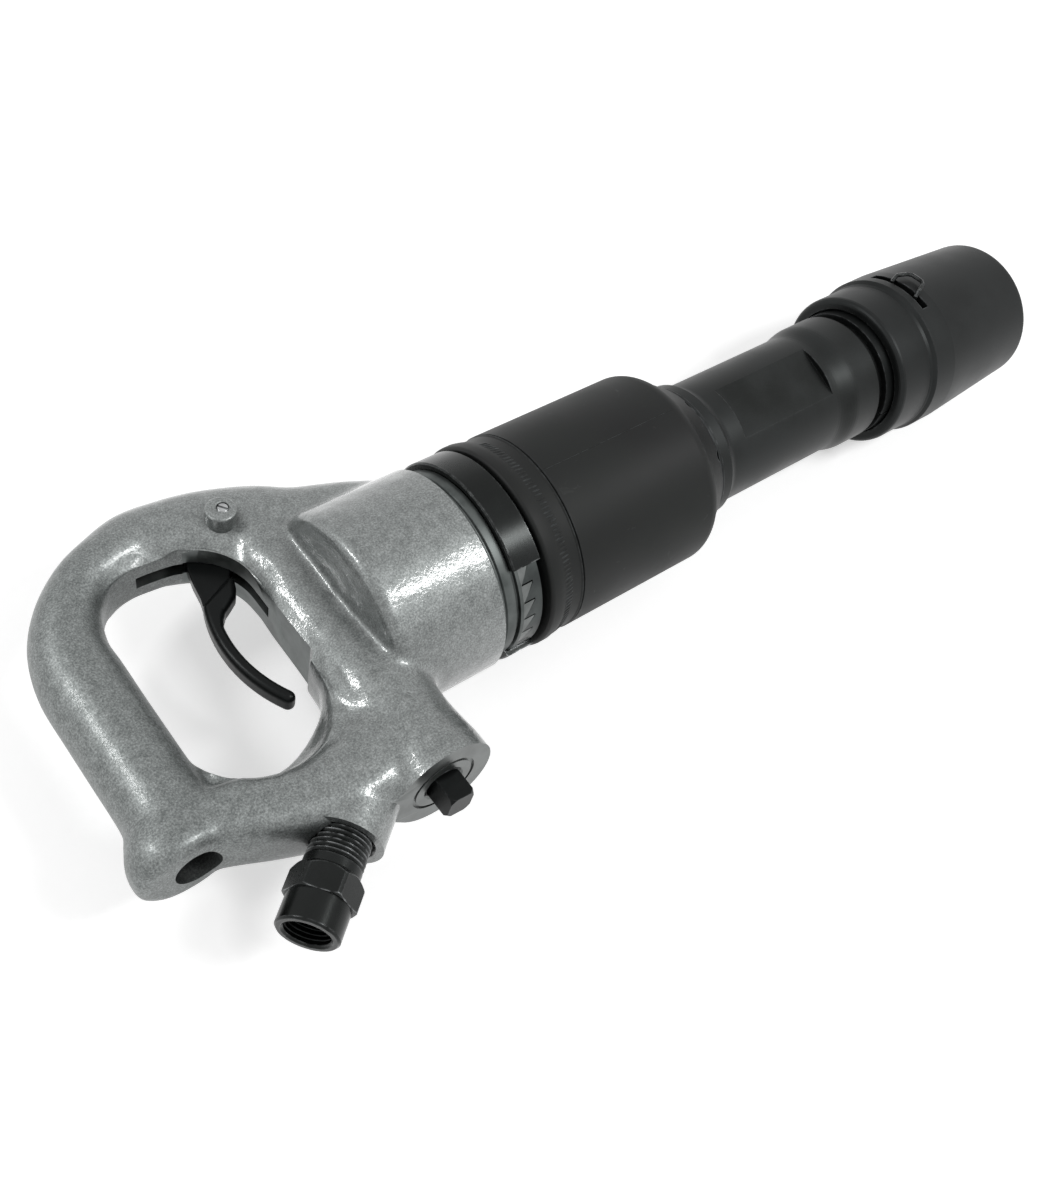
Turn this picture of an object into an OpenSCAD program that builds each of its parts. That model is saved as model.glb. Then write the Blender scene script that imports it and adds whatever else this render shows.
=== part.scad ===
// Rivet buster: a hand-held pneumatic hammer with a closed D handle.
// +X runs along the barrel towards the chisel, the D handle lies in the XY plane,
// +Y is the arm that carries the trigger pin, +Z is up as the tool lies on its side.
// The origin is the centre of the mouth of the chisel bushing.

/* [Chisel end] */
// Bore of the chisel bushing
shank_d = 25.5; // [22:0.1:28]
// Length of the bushing's bore
bushing_len = 58; // [40:1:70]
// Press diameter of the bushing in the barrel
bushing_d = 38; // [34:0.5:42]
// Diameter of the bushing's collar
bushing_collar_d = 50; // [44:1:56]
// Distance from the barrel's front face to the bushing's mouth
bushing_stand = 12; // [8:0.5:16]
// Thickness of the bushing's collar
bushing_collar_t = 6; // [4:0.5:8]

/* [Retainer] */
// Reach of the sleeve past the bushing's mouth
sleeve_reach = 44.4; // [40:0.2:52]
// Length of the sleeve's thick front part
sleeve_len = 76.8; // [70:0.2:84]
// Length of the sleeve's straight part before it tapers
sleeve_straight = 14; // [12:0.5:30]
// Diameter of the sleeve at its step
sleeve_d = 77.2; // [75:0.2:84]
// Diameter of the sleeve at its front end
sleeve_front_d = 70; // [69:0.2:80]
// Rounding of the sleeve's front edge
sleeve_round = 4; // [2:0.5:6]
// Length of the sleeve's rear skirt
skirt_len = 22.4; // [20:0.2:26]
// Diameter of the rear skirt
skirt_d = 73.4; // [72:0.2:76]
// Bore of the sleeve over the barrel's flange
sleeve_bore_d = 63.2; // [63:0.1:64]
// Diameter of the pocket for the split collar
pocket_d = 68.4; // [67:0.1:70]
// Thickness of the sleeve's rear lip
lip_t = 4; // [3:0.5:6]
// Opening in the sleeve's front wall
front_hole_d = 46; // [42:1:54]
// Thickness of the sleeve's front wall
front_wall = 5.8; // [4:0.2:8]
// Thickness of the rubber bumper
bumper_t = 14; // [10:1:16]
// Hole in the rubber bumper
bumper_hole_d = 36; // [32:1:40]
// Thickness of the steel ring behind the bumper
thrust_t = 5; // [3:0.5:7]
// Hole in the steel ring
thrust_hole_d = 31; // [30:0.5:36]
// Bore of the split collar over the barrel's groove
half_bore_d = 55.2; // [54:0.1:56]
// Length of the split collar's thin tail
half_tail = 9; // [6:0.5:10]
// Diameter of the split collar's tail
half_tail_d = 61.4; // [60:0.2:62]
// Width of the slot for the lock wire's loop
slot_w = 4; // [3.5:0.1:6]
// Distance from the sleeve's step to the middle of the slot
slot_back = 6.8; // [6:0.1:10]
// Angle of one end of the slot, from +Y towards +Z
slot_from = 55; // [45:1:60]
// Angle of the other end of the slot
slot_to = 105; // [100:1:120]
// Diameter of the lock wire
wire_d = 2; // [1.6:0.1:2.4]
// Height of the wire's loop over the sleeve
loop_rise = 2.4; // [1.8:0.2:4]
// Reach of the wire's loop along the sleeve
loop_reach = 8.5; // [4:0.5:10]

/* [Barrel] */
// Bore of the barrel
bore_d = 30.2; // [28:0.1:32]
// Gap between the nose cylinder and the sleeve
nose_gap = 8.9; // [8:0.1:12]
// Length of the nose cylinder
nose_len = 21; // [18:0.5:26]
// Diameter of the nose cylinder
nose_d = 61.6; // [60:0.2:63]
// Length of the smooth rise from the neck to the nose cylinder
nose_rise = 12; // [8:0.5:16]
// Length of the barrel's front flange
flange_len = 21.5; // [18:0.5:24]
// Diameter of the groove for the split collar
groove_d = 55; // [53:0.5:56]
// Length of the neck between the nose and the shoulder
neck_len = 78.3; // [60:0.1:100]
// Diameter of the neck
neck_d = 57.5; // [54:0.1:60]
// Fillet between the neck and the shoulder
neck_fillet = 6; // [4:0.5:10]
// Distance between the two spanner flats
flat_af = 51.6; // [50:0.2:54]
// Length of the spanner flats
flat_len = 57; // [40:1:60]
// Distance from the nose cylinder to the spanner flats
flat_offset = 8.5; // [7:0.5:12]
// Angle of the upper spanner flat, from +Y towards +Z
flat_angle = 108.6; // [90:0.2:120]
// Width of the shoulder in front of the deflector
shoulder_len = 7.8; // [6:0.2:10]
// Diameter of the shoulder
shoulder_d = 62.4; // [61:0.2:63]
// Diameter of the barrel under the deflector
body_d = 68; // [67:0.5:69]
// Diameter of the barrel's screw thread in the handle
thread_d = 66; // [64:0.5:67]
// Length of the screw thread in the handle
thread_len = 15; // [12:0.5:20]
// Number of exhaust ports
port_count = 4; // [2:2:4]
// Diameter of an exhaust port
port_d = 7; // [5:0.5:9]

/* [Piston and valve] */
// Length of the piston
piston_len = 112; // [90:1:115]
// Stroke of the piston
stroke = 101.6; // [76.2:0.1:101.6]
// Diameter of the valve case
case_d = 59; // [56:0.5:60]
// Length of the valve case behind the barrel
case_len = 22; // [20:0.5:24]
// Width of the step from the valve case to its spigot in the barrel
case_step = 5.2; // [5:0.1:6]
// Length of the case's spigot
spigot_len = 16.5; // [12:0.5:18]
// Thickness of the valve cap
cap_t = 6; // [4:0.5:7]
// Diameter of the shuttle valve
shuttle_d = 34; // [30:0.5:36]
// Travel of the shuttle valve
shuttle_travel = 5; // [3:0.5:6]
// Length of the shuttle valve
shuttle_len = 21; // [18:0.5:21.5]
// Diameter of the dowel pins
dowel_d = 3.8; // [3:0.2:4]
// Length of the dowel pins
dowel_len = 14; // [10:0.5:16]

/* [Deflector] */
// Length of the exhaust deflector
deflector_len = 105.6; // [90:0.2:120]
// Diameter of the exhaust deflector
deflector_d = 87.5; // [84:0.5:90]
// Extra radius of the rolled rear lip
deflector_roll = 0.9; // [0.4:0.1:1.2]
// Length of the rear band up to the fine groove
deflector_band = 17.1; // [15:0.1:20]
// Radius of the front shoulder
deflector_round = 8; // [6:0.5:10]
// Diameter where the front cone ends
deflector_nose_d = 65; // [64:0.5:67]
// Bore of the exhaust chamber
chamber_d = 77; // [74:0.5:79]
// Number of exhaust notches in the front lip
notch_count = 8; // [6:1:12]

/* [Lock ring] */
// Number of ratchet teeth
tooth_count = 32; // [24:1:36]
// Height of a ratchet tooth
tooth_h = 5.4; // [4:0.2:6]
// Inner diameter of the ratchet teeth
tooth_in_d = 72.6; // [72.2:0.1:74]
// Width of a ratchet tooth along the radius
tooth_w = 5.2; // [4.8:0.1:5.6]
// Distance from the handle's tooth tips to the ring's front
ring_front = 3.8; // [3:0.1:5]
// Gap between the lock ring's clip and the deflector
clip_gap = 1.4; // [1:0.1:3]
// Thickness of the spring clip
clip_t = 2.1; // [1.6:0.1:2.4]
// Width of the spring clip
clip_w = 13.6; // [13:0.1:15]
// Angle where the clip's gap starts, from +Y towards +Z
clip_from = 137; // [120:1:150]
// Angle where the clip's gap ends
clip_to = 203; // [190:1:220]

/* [Handle] */
// Height of the painted head over the bare rim
head_step = 3; // [2:0.1:4]
// Length of the painted head
head_len = 49.5; // [44:0.5:56]
// Length of the bare machined rim up to the tooth tips
rim_len = 15.5; // [14:0.1:18]
// Height of the ratchet teeth over the bare rim
rim_step = 0.5; // [0.3:0.1:1]
// Distance from the head's rear face to the throttle axis
valve_back = 6.6; // [5:0.2:9]
// Distance from the throttle axis to the axis of the grip
grip_reach = 87.6; // [84:0.2:92]
// Diameter of the grip
grip_d = 32.2; // [28:0.2:34]
// Diameter of the throttle housing
housing_d = 42.2; // [41:0.2:44]
// Diameter of the throttle housing at its waist
waist_d = 35; // [32:0.5:40]
// Distance from the barrel axis to the face of the throttle housing
housing_reach = 80; // [76:0.5:84]
// Distance from the housing's face to the middle of the lower arm
arm_drop = 25; // [23:0.2:27]
// Distance from the throttle axis back to the machined pocket
pocket_back = 14.1; // [13:0.1:15]
// Distance from the throttle axis back to the trigger pin
pin_back = 10.9; // [9:0.1:12]
// Distance from the barrel axis to the trigger pin
pin_up = 55.7; // [54:0.1:58]
// Height of the trigger pin's bosses from the middle plane
boss_h = 22; // [20:0.5:24]
// Diameter of a trigger pin boss at its face
boss_d = 12.6; // [11:0.2:14]
// Diameter of the hole in the lug
lug_hole_d = 17; // [14:0.5:19]
// Depth of the hole in the lug
lug_hole_depth = 20; // [12:1:40]

/* [Trigger and throttle] */
// Thickness of the trigger
trigger_t = 5.6; // [5:0.2:8]
// Thickness of the trigger's finger lever
lever_t = 5.4; // [4:0.2:6]
// Height of the trigger's finger lever
lever_h = 9; // [8:0.2:12]
// Radius of the curved lever's rear edge
lever_r = 61; // [55:0.5:65]
// Diameter of the trigger pin
pin_d = 5; // [4:0.1:6]
// Diameter of the trigger's hub
hub_d = 17; // [15:0.5:18]
// Diameter of the trigger's toe on the valve stem
toe_d = 13; // [12:0.5:13.5]
// Radius of the cutter that made the trigger slot
cutter_r = 30; // [29.8:0.1:31]
// Swing of the trigger
trigger_swing = 15; // [10:1:16]
// Diameter of the valve stem
stem_d = 6; // [5:0.2:7]
// Diameter of the throttle bore
throttle_d = 14.4; // [13.6:0.1:15]
// Diameter of the plug's thread
plug_d = 15.1; // [15:0.1:16.4]
// Distance across the flats of the plug's square
plug_square = 10.4; // [9:0.2:11]
// Height of the plug's square over the housing face
plug_rise = 10.5; // [6:0.5:14]
// Bore of the throttle bushing
throttle_bore_d = 10; // [9:0.2:11]
// Wire of the throttle spring
spring_wire = 1.2; // [0.8:0.1:1.4]
// Number of curls of the throttle spring
spring_turns = 6; // [4:1:7]

/* [Air inlet] */
// Angle of the inlet's axis in the handle's plane
inlet_angle = 217.8; // [210:0.2:225]
// Distance of the fitting's rim behind the throttle axis
inlet_back = 71.8; // [66:0.2:76]
// Distance of the fitting's rim below the housing's face
inlet_drop = 21.8; // [18:0.2:26]
// Diameter of the fitting's pipe thread
pipe_d = 21.3; // [20:0.1:22]
// Pitch of the pipe thread
pipe_pitch = 1.8; // [1.4:0.1:2.4]
// Diameter of the fitting's round end
socket_d = 23.4; // [20:0.1:23.6]
// Length of the fitting's round end
socket_len = 11.8; // [10:0.2:18]
// Bore of the fitting's female end
female_d = 17; // [15:0.1:18.6]
// Depth of the female bore
female_depth = 13; // [10:0.5:16]
// Distance across the fitting's hexagon
hex_af = 23.8; // [23.8:0.1:26]
// Length of the hexagon
hex_len = 10.8; // [7:0.2:12]
// Length of the fitting from its rim to its inner end
fitting_len = 60; // [52:0.5:62]
// Through bore of the fitting
fitting_bore_d = 12; // [10:0.5:14]
// Diameter of the inlet boss
inlet_boss_d = 30; // [28:0.2:34]

/* [Hidden] */
$fn = 96;

// Running clearance of a shaft in its hole
fit = 0.08;
// Clearance between pieces that only lie beside each other
gap = 0.25;
// Small overlap of shapes that are one piece
eps = 0.05;

// Diameters that follow from others
tooth_d = tooth_in_d + 2 * tooth_w;
rim_d = tooth_d - 2 * rim_step;
head_d = rim_d + 2 * head_step;
spigot_d = case_d - 2 * case_step;
slot_t = trigger_t + 0.6;

// Stations along the barrel axis, from the mouth of the bushing backwards
x_sleeve = sleeve_reach;
x_step = x_sleeve - sleeve_len;
x_skirt = x_step - skirt_len;
x_nose = x_skirt - nose_gap;
x_neck = x_nose - nose_len;
x_shoulder = x_neck - neck_len;
x_defl = x_shoulder - shoulder_len;
x_defl_rear = x_defl - deflector_len;
x_clip = x_defl_rear - clip_gap;
x_ring = x_clip - 1.4;
x_tips = x_ring - ring_front;
x_roots = x_tips - tooth_h;
x_paint = x_tips - rim_len;
x_head = x_paint - head_len;
x_valve = x_head - valve_back;
x_grip = x_valve - grip_reach;
x_face = -bushing_stand;
x_flange = x_face - flange_len;
x_body = x_defl - 11;

// Stations inside the head
x_land = x_roots - 0.6;
x_thread = x_land - 1;
x_barrel = x_thread - thread_len;
x_cap = x_barrel - case_len;
x_cavity = x_cap - cap_t;
x_bore = x_barrel + spigot_len + 0.5;
x_piston = x_bore + 2;
x_shuttle = x_cap + 0.5;
bore_front = -bushing_len;

// Turned shape about the barrel axis from [radius, x] points; angles run from +Y to +Z
module turned(points, from = 0, to = 360) {
    rotate([0, 90, 0])
        rotate([0, 0, from + 90])
            rotate_extrude(angle = to - from)
                polygon(points);
}

// Plain tube about the barrel axis
module tube_x(x0, x1, r, hole = 0) {
    translate([x0, 0, 0])
        rotate([0, 90, 0])
            difference() {
                cylinder(h = x1 - x0, r = r);
                if (hole > 0)
                    translate([0, 0, -1])
                        cylinder(h = x1 - x0 + 2, r = hole);
            }
}

// Cylinder along +Y
module rod_y(x, y0, y1, r, r2 = -1) {
    translate([x, y0, 0])
        rotate([-90, 0, 0])
            cylinder(h = y1 - y0, r1 = r, r2 = r2 < 0 ? r : r2);
}

// Quarter round as [radius, x] points around a centre
function arc(cr, cx, r, a0, a1, n = 8) =
    [for (i = [0 : n]) let (a = a0 + (a1 - a0) * i / n) [cr + r * cos(a), cx + r * sin(a)]];

// Length of a vector in the plane
function unit(v) = v / norm(v);

// Skin of a row of rings that all have the same number of points, closed at both ends
module skin(rings) {
    n = len(rings[0]);
    m = len(rings);
    sides = [for (i = [0 : m - 2], j = [0 : n - 1], k = [0, 1])
        k == 0
            ? [i * n + j, i * n + (j + 1) % n, (i + 1) * n + (j + 1) % n]
            : [i * n + j, (i + 1) * n + (j + 1) % n, (i + 1) * n + j]];
    ends = [[for (j = [n - 1 : -1 : 0]) j], [for (j = [0 : n - 1]) (m - 1) * n + j]];
    polyhedron([for (r = rings) each r], concat(sides, ends));
}

// One section of a cast arm, square to its path in the XY plane: half width, half height
function arm_ring(p, dir, n = 20) =
    let (side = [-dir[1], dir[0]])
    [for (i = [0 : n - 1])
        let (a = -360 * i / n,
             c = cos(a), s = sin(a),
             e = 2 / p[4],
             u = p[2] * sign(c) * pow(abs(c), e),
             v = p[3] * sign(s) * pow(abs(s), e))
        [p[0] + side[0] * u, p[1] + side[1] * u, v]];

// Point between four stations on a smooth curve
function blend4(a, b, c, d, t) =
    ((2 * b) + (c - a) * t + (2 * a - 5 * b + 4 * c - d) * t * t
     + (3 * b - a - 3 * c + d) * t * t * t) / 2;

function smooth_path(p, steps) =
    let (n = len(p))
    [for (i = [0 : n - 2], k = [0 : steps - 1])
        blend4(p[max(i - 1, 0)], p[i], p[i + 1], p[min(i + 2, n - 1)], k / steps),
     p[n - 1]];

module arm(stations, steps = 2) {
    p = smooth_path(stations, steps);
    n = len(p);
    skin([for (i = [0 : n - 1])
        let (a = p[max(i - 1, 0)], b = p[min(i + 1, n - 1)])
        arm_ring(p[i], unit([b[0] - a[0], b[1] - a[1]]))]);
}

// Handle

// Stations of the upper arm and the grip: x, y, half width, half height, squareness
grip_r = grip_d / 2;
y_low = arm_drop - housing_reach;
y_foot = y_low - 6.4;
upper_arm = [
    [x_paint - 3, 28, 18, 20, 2.2],
    [x_paint - 20, 38.4, 18, 18, 2.1],
    [x_head + 9, 46.4, 18.6, 17.2, 2.1],
    [x_valve + 3, 54, 19.6, 16.6, 2.1],
    [x_valve - 9.2, 58.4, 20.2, 16.4, 2.2],
    [x_valve - 20, 63, 19, 16.2, 2.2],
    [x_valve - 30, 66.6, 17, 16, 2.1],
    [x_valve - 43, 69, 14.6, 16, 2.1],
    [x_valve - 56, 65.9, 13.3, 16, 2],
    [x_grip + 21.2, 61.6, 12.6, 16, 2],
    [x_grip + 11.7, 53.9, 12.8, 16, 2],
    [x_grip + 5.5, 44.9, 13.9, 16, 2],
    [x_grip + 1.6, 35.2, 14.8, 16, 2],
    [x_grip + 0.2, 22.5, grip_r, grip_r, 2],
    [x_grip, 4, grip_r, grip_r, 2],
    [x_grip, -14, grip_r, grip_r, 2],
    [x_grip, y_low + 22, grip_r, grip_r, 2],
    [x_grip - 0.6, y_low + 12.5, grip_r + 0.4, grip_r, 2.1],
    [x_grip - 2.6, y_low + 5.5, grip_r + 1.6, grip_r + 0.6, 2.2],
    [x_grip - 4, y_low, grip_r + 2.6, grip_r + 0.8, 2.3],
    [x_grip - 4, y_low - 4, grip_r + 1.4, grip_r, 2.3],
    [x_grip - 4, y_foot, grip_r - 2, grip_r - 3, 2.3]];
lower_arm = [
    [x_valve + 4, y_low, 20, 18.5, 2.4],
    [x_valve - 12, y_low - 4.5, 19, 18, 2.6],
    [x_valve - 28, y_low - 8.5, 16.5, 17.2, 2.8],
    [x_valve - 43, y_low - 7.5, 14.6, 16.4, 3],
    [x_valve - 57, y_low - 3.5, 13.4, 15.8, 3.2],
    [x_grip + 17, y_low + 1.2, 12.2, 15.4, 3.2],
    [x_grip + 5, y_low + 4.6, 11, 15, 3],
    [x_grip - 5, y_low + 7, 9, 13, 2.6]];
web_h = 22;

// Hand opening: the four round corners of the D, as x, y and radius
corners = [
    [x_grip + 37.4, 33.6, 21],
    [x_valve - pocket_back - 26, 27.7, 26],
    [x_valve - 42, y_low + 29, 24],
    [x_grip + 42, y_low + 31, 25.6]];

pin = [x_valve - pin_back, pin_up];
inlet = [x_valve - inlet_back, -housing_reach - inlet_drop];
throttle_r = throttle_d / 2;
plug_depth = 21;
plug_sink = 2;
y_seat = -38;
y_guide = 0;
seal_t = 2.5;
seal_r = 5;
stem_r = stem_d / 2;
y_toe = pin_up - toe_d / 2;
slot_c = [pin[0] - 9.7, pin[1] - 9.5];
boss_t = 36.6;
pocket_y0 = -17;
pocket_w = 40;
pocket_step = 0.3;
pocket_from = x_valve - 31;
plate_h = 26;

// Places something on the inlet axis, z = 0 at the rim and growing into the handle
module on_inlet() {
    translate([inlet[0], inlet[1], 0])
        rotate([0, 0, inlet_angle + 180])
            rotate([0, 90, 0])
                children();
}

module hand_opening(h) {
    hull()
        for (c = corners)
            translate([c[0], c[1], -h / 2])
                cylinder(h = h, r = c[2], $fn = 40);
}

// Wall beside the trigger: one corner of the opening, milled wider and right through the arm
module milled_pocket() {
    c = corners[1];
    r = c[2] + pocket_step;
    intersection() {
        hull() {
            translate([c[0], c[1], -pocket_w / 2])
                cylinder(h = pocket_w, r = r);
            translate([c[0], pocket_y0, -pocket_w / 2])
                cube([r, 1, pocket_w]);
        }
        translate([pocket_from, pocket_y0 - 1, -pocket_w])
            cube([40, 90, 2 * pocket_w]);
    }
}

module head_solid() {
    r = head_d / 2;
    turned(concat(
        [[0, x_head], [r - 4, x_head]],
        arc(r - 4, x_head + 4, 4, -90, 0),
        [[r, x_paint - 1], [r - 1, x_paint], [rim_d / 2, x_paint],
         [rim_d / 2, x_roots - 3.2], [rim_d / 2 - 1.3, x_roots - 3.2],
         [rim_d / 2 - 1.3, x_roots - 1.6], [tooth_d / 2, x_roots - 1.6],
         [tooth_d / 2, x_tips], [tooth_in_d / 2, x_tips],
         [tooth_in_d / 2, x_roots - 1.2], [0, x_roots - 1.2]]));
}

// Saw-tooth profile of one ratchet tooth in the plane of [x, across]
tooth_pitch = PI * tooth_in_d / tooth_count;
tooth_phase = -4.1;
module tooth_spaces(play, x_far) {
    w = tooth_pitch - 2 * play;
    for (i = [0 : tooth_count - 1])
        rotate([360 * i / tooth_count + tooth_phase, 0, 0])
            translate([0, -tooth_pitch / 2 + play, tooth_in_d / 2 - 2])
                linear_extrude(tooth_d / 2 - tooth_in_d / 2 + 4)
                    polygon([[x_far, 0], [x_roots + play * 1.2, 0], [x_tips, w], [x_far, w]]);
}

module pin_bosses() {
    r = boss_d / 2;
    round_r = 1.2;
    for (s = [0, 1])
        mirror([0, 0, s])
            translate([pin[0], pin[1], 0])
                rotate_extrude()
                    polygon(concat([[0, 8], [r, 8]],
                        arc(r - round_r, boss_h - round_r, round_r, 0, 90, 4), [[0, boss_h]]));
}

// Web that the two arms grow out of, so that the wall beside the fingers stands upright
module arm_web() {
    translate([x_valve - 36, y_low - 2, -web_h / 2])
        cube([36, pin_up + 6.3 - y_low, web_h]);
}

// Plate that rounds the two lower corners of the opening
module corner_plate() {
    translate([0, 0, -plate_h / 2])
        linear_extrude(plate_h)
            polygon([
                [x_grip, y_low + 21], [x_grip + 18, y_low + 25], [x_valve - 20, y_low + 30],
                [x_valve, y_low + 30], [x_valve, y_low - 4], [x_grip, y_low - 1]]);
}

// Barrel-shaped housing of the throttle, drawn in where the fingers close
module throttle_housing() {
    r = housing_d / 2;
    w = waist_d / 2;
    y0 = -housing_reach;
    y1 = -housing_reach + 42;
    y2 = 0;
    y3 = 24;
    translate([x_valve, 0, 0])
        rotate([-90, 0, 0])
            rotate_extrude()
                polygon(concat(
                    [[0, y0], [r - 0.6, y0], [r, y0 + 0.6], [r, y0 + 6]],
                    [for (i = [0 : 8]) [r - 1.2 * sin(180 * i / 8), y0 + 8 + (y1 - y0 - 8) * i / 8]],
                    [for (i = [1 : 6]) let (k = (1 - cos(180 * i / 6)) / 2)
                        [r + (w - r) * k, y1 + (y2 - y1) * i / 6]],
                    [for (i = [1 : 6]) let (k = (1 - cos(180 * i / 6)) / 2)
                        [w + (r - 3 - w) * k, y2 + (y3 - y2) * i / 6]],
                    [[r - 4, pin_up], [0, pin_up]]));
}

module handle_solid() {
    head_solid();
    arm(upper_arm);
    arm(lower_arm);
    arm_web();
    corner_plate();
    throttle_housing();
    on_inlet()
        translate([0, 0, boss_t])
            cylinder(h = 28, r = inlet_boss_d / 2);
    pin_bosses();
}

module handle_cuts() {
    hand_opening(plate_h + 2);
    milled_pocket();
    // Cavity for the valve and the screw thread of the barrel
    tube_x(x_cavity, x_barrel + eps, case_d / 2 + gap);
    tube_x(x_barrel, x_tips + 1, thread_d / 2 + 0.05);
    tube_x(x_roots - 1.2, x_tips + 1, tooth_in_d / 2);
    tooth_spaces(0, x_tips + 2);
    // Throttle bore, plug seat and stem guide
    rod_y(x_valve, -housing_reach - 1, -housing_reach + plug_sink + plug_depth - 5, plug_d / 2 + 0.05);
    rod_y(x_valve, -housing_reach - 1, y_guide, throttle_r);
    rod_y(x_valve, -housing_reach - eps, -housing_reach + 1, plug_d / 2 + 1, plug_d / 2);
    rod_y(x_valve, y_guide - eps, y_guide + seal_t, seal_r);
    rod_y(x_valve, y_guide, pin_up, stem_r + fit);
    difference() {
        rod_y(x_valve, -housing_reach - eps, -housing_reach + 0.8, 13.6);
        rod_y(x_valve, -housing_reach - 1, -housing_reach + 2, 12.2);
    }
    // Air way from the throttle to the valve cavity
    translate([x_valve, -16, 0])
        rotate([0, 90, 0])
            cylinder(h = x_cavity + 1 - x_valve, r = 5);
    // Inlet thread and air way to the throttle
    on_inlet() {
        translate([0, 0, boss_t - 8])
            cylinder(h = fitting_len - boss_t + 8 + gap, r = pipe_d / 2 + fit);
        translate([0, 0, boss_t - eps])
            cylinder(h = 1.4, r1 = pipe_d / 2 + 1.4, r2 = pipe_d / 2);
        translate([0, 0, 40])
            cylinder(h = 50, r = fitting_bore_d / 2);
    }
    // Trigger slot and pin hole
    translate([slot_c[0], slot_c[1], -slot_t / 2])
        cylinder(h = slot_t, r = cutter_r);
    translate([pin[0], pin[1], -boss_h - 1])
        cylinder(h = 2 * boss_h + 2, r = pin_d / 2);
    // Hole in the lug
    rod_y(x_grip - 1.2, y_foot - 8, y_foot - 0.1 + lug_hole_depth, lug_hole_d / 2);
}

module handle() {
    color("darkgray")
        difference() {
            handle_solid();
            handle_cuts();
        }
}

// Trigger

lever_c = [x_valve + 22.3, 8];
lever_mid = lever_r - lever_t / 2;
root_angle = 151;
tip_angle = 209.5;
tip = [lever_c[0] + lever_mid * cos(tip_angle), lever_c[1] + lever_mid * sin(tip_angle)];

// Half section of the cast lever, from its middle to its rounded edge
function lever_side(sign) =
    let (w = lever_t / 2, h = lever_h / 2, c = 2)
    [for (i = [0 : 6]) let (a = 90 - 180 * i / 6)
        [sign * (w - c + c * cos(a)), (a > 0 ? h - c : -h + c) + c * sin(a)]];

// Flat root of the trigger in its slot, in the plane of the handle
module trigger_block() {
    polygon([
        [pin[0] - 6, pin[1] + 6], [pin[0] - 17.4, pin[1] + 1.3], [pin[0] - 20, pin[1] - 6.8],
        [pin[0] - 21.4, pin[1] - 13.1], [pin[0] - 22.5, pin[1] - 21], [x_valve - 35.6, 28.8],
        [x_valve - 34.4, 23], [x_valve - 32.4, 22], [x_valve - 30, 23.7],
        [x_valve - 25.2, 27.5], [x_valve - 20.7, 31.5], [x_valve - 18.2, 35.7],
        [pin[0] + 1, pin[1] - hub_d / 2 + 0.2], [pin[0], pin[1]]]);
}

module trigger() {
    color([0.09, 0.09, 0.1])
        difference() {
            union() {
                translate([0, 0, -trigger_t / 2])
                    linear_extrude(trigger_t)
                        union() {
                            trigger_block();
                            polygon([
                                [pin[0], pin[1] + hub_d / 2 - 0.4], [x_valve, pin[1] + toe_d / 2 - 0.3],
                                [x_valve, pin[1] - toe_d / 2 + 0.3], [pin[0], pin[1] - hub_d / 2 + 0.4]]);
                        }
                translate([pin[0], pin[1], -trigger_t / 2])
                    cylinder(h = trigger_t, r = hub_d / 2);
                translate([x_valve, pin[1], -trigger_t / 2])
                    cylinder(h = trigger_t, r = toe_d / 2);
                translate([lever_c[0], lever_c[1], 0])
                    rotate([0, 0, root_angle])
                        rotate_extrude(angle = tip_angle - root_angle, $fn = 180)
                            translate([lever_mid, 0])
                                polygon(concat(lever_side(1), [for (i = [6 : -1 : 0]) lever_side(-1)[i]]));
                translate([tip[0], tip[1], 0])
                    cylinder(h = lever_h - 1, r = lever_t / 2 - 0.2, center = true);
            }
            translate([pin[0], pin[1], -trigger_t])
                cylinder(h = 2 * trigger_t, r = pin_d / 2 + fit);
        }
}

module trigger_pin() {
    color("silver")
        translate([pin[0], pin[1], 0])
            difference() {
                cylinder(h = 2 * boss_h - 1, r = pin_d / 2, center = true);
                translate([0, 0, -boss_h])
                    cylinder(h = 2 * boss_h, r = pin_d / 2 - 1.1);
                translate([0, -0.35, -boss_h])
                    cube([pin_d, 0.7, 2 * boss_h]);
            }
}

// Throttle

y_plug = -housing_reach + plug_sink;
y_plug_in = y_plug + plug_depth - 5;
y_spring = y_seat - 5;
y_spigot = y_spring - 7;

module throttle_valve() {
    color("silver")
        translate([x_valve, 0, 0])
            rotate([-90, 0, 0])
                rotate_extrude()
                    polygon([
                        [0, y_spigot], [3.2, y_spigot], [3.5, y_spigot + 0.6], [3.5, y_spring],
                        [throttle_r - 1.2, y_spring], [throttle_r - 1.2, y_seat - 1.6],
                        [throttle_r - 1.6, y_seat - eps], [stem_r + 0.6, y_seat - eps],
                        [stem_r, y_seat + 3], [stem_r, y_toe - 1], [stem_r - 0.8, y_toe - eps],
                        [0, y_toe - eps]]);
}

module throttle_bushing() {
    color("goldenrod")
        difference() {
            rod_y(x_valve, y_seat, y_guide, throttle_r);
            rod_y(x_valve, y_seat - 1, y_guide + 1, throttle_bore_d / 2);
            translate([x_valve, -16, 0])
                rotate([0, 90, 0])
                    cylinder(h = 30, r = 4, center = true);
            translate([x_valve, -16, 0])
                cylinder(h = 30, r = 4, center = true);
        }
}

module stem_seal() {
    color([0.12, 0.12, 0.12])
        difference() {
            rod_y(x_valve, y_guide, y_guide + seal_t, seal_r);
            rod_y(x_valve, y_guide - 1, y_guide + seal_t + 1, stem_r + fit);
        }
}

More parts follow.
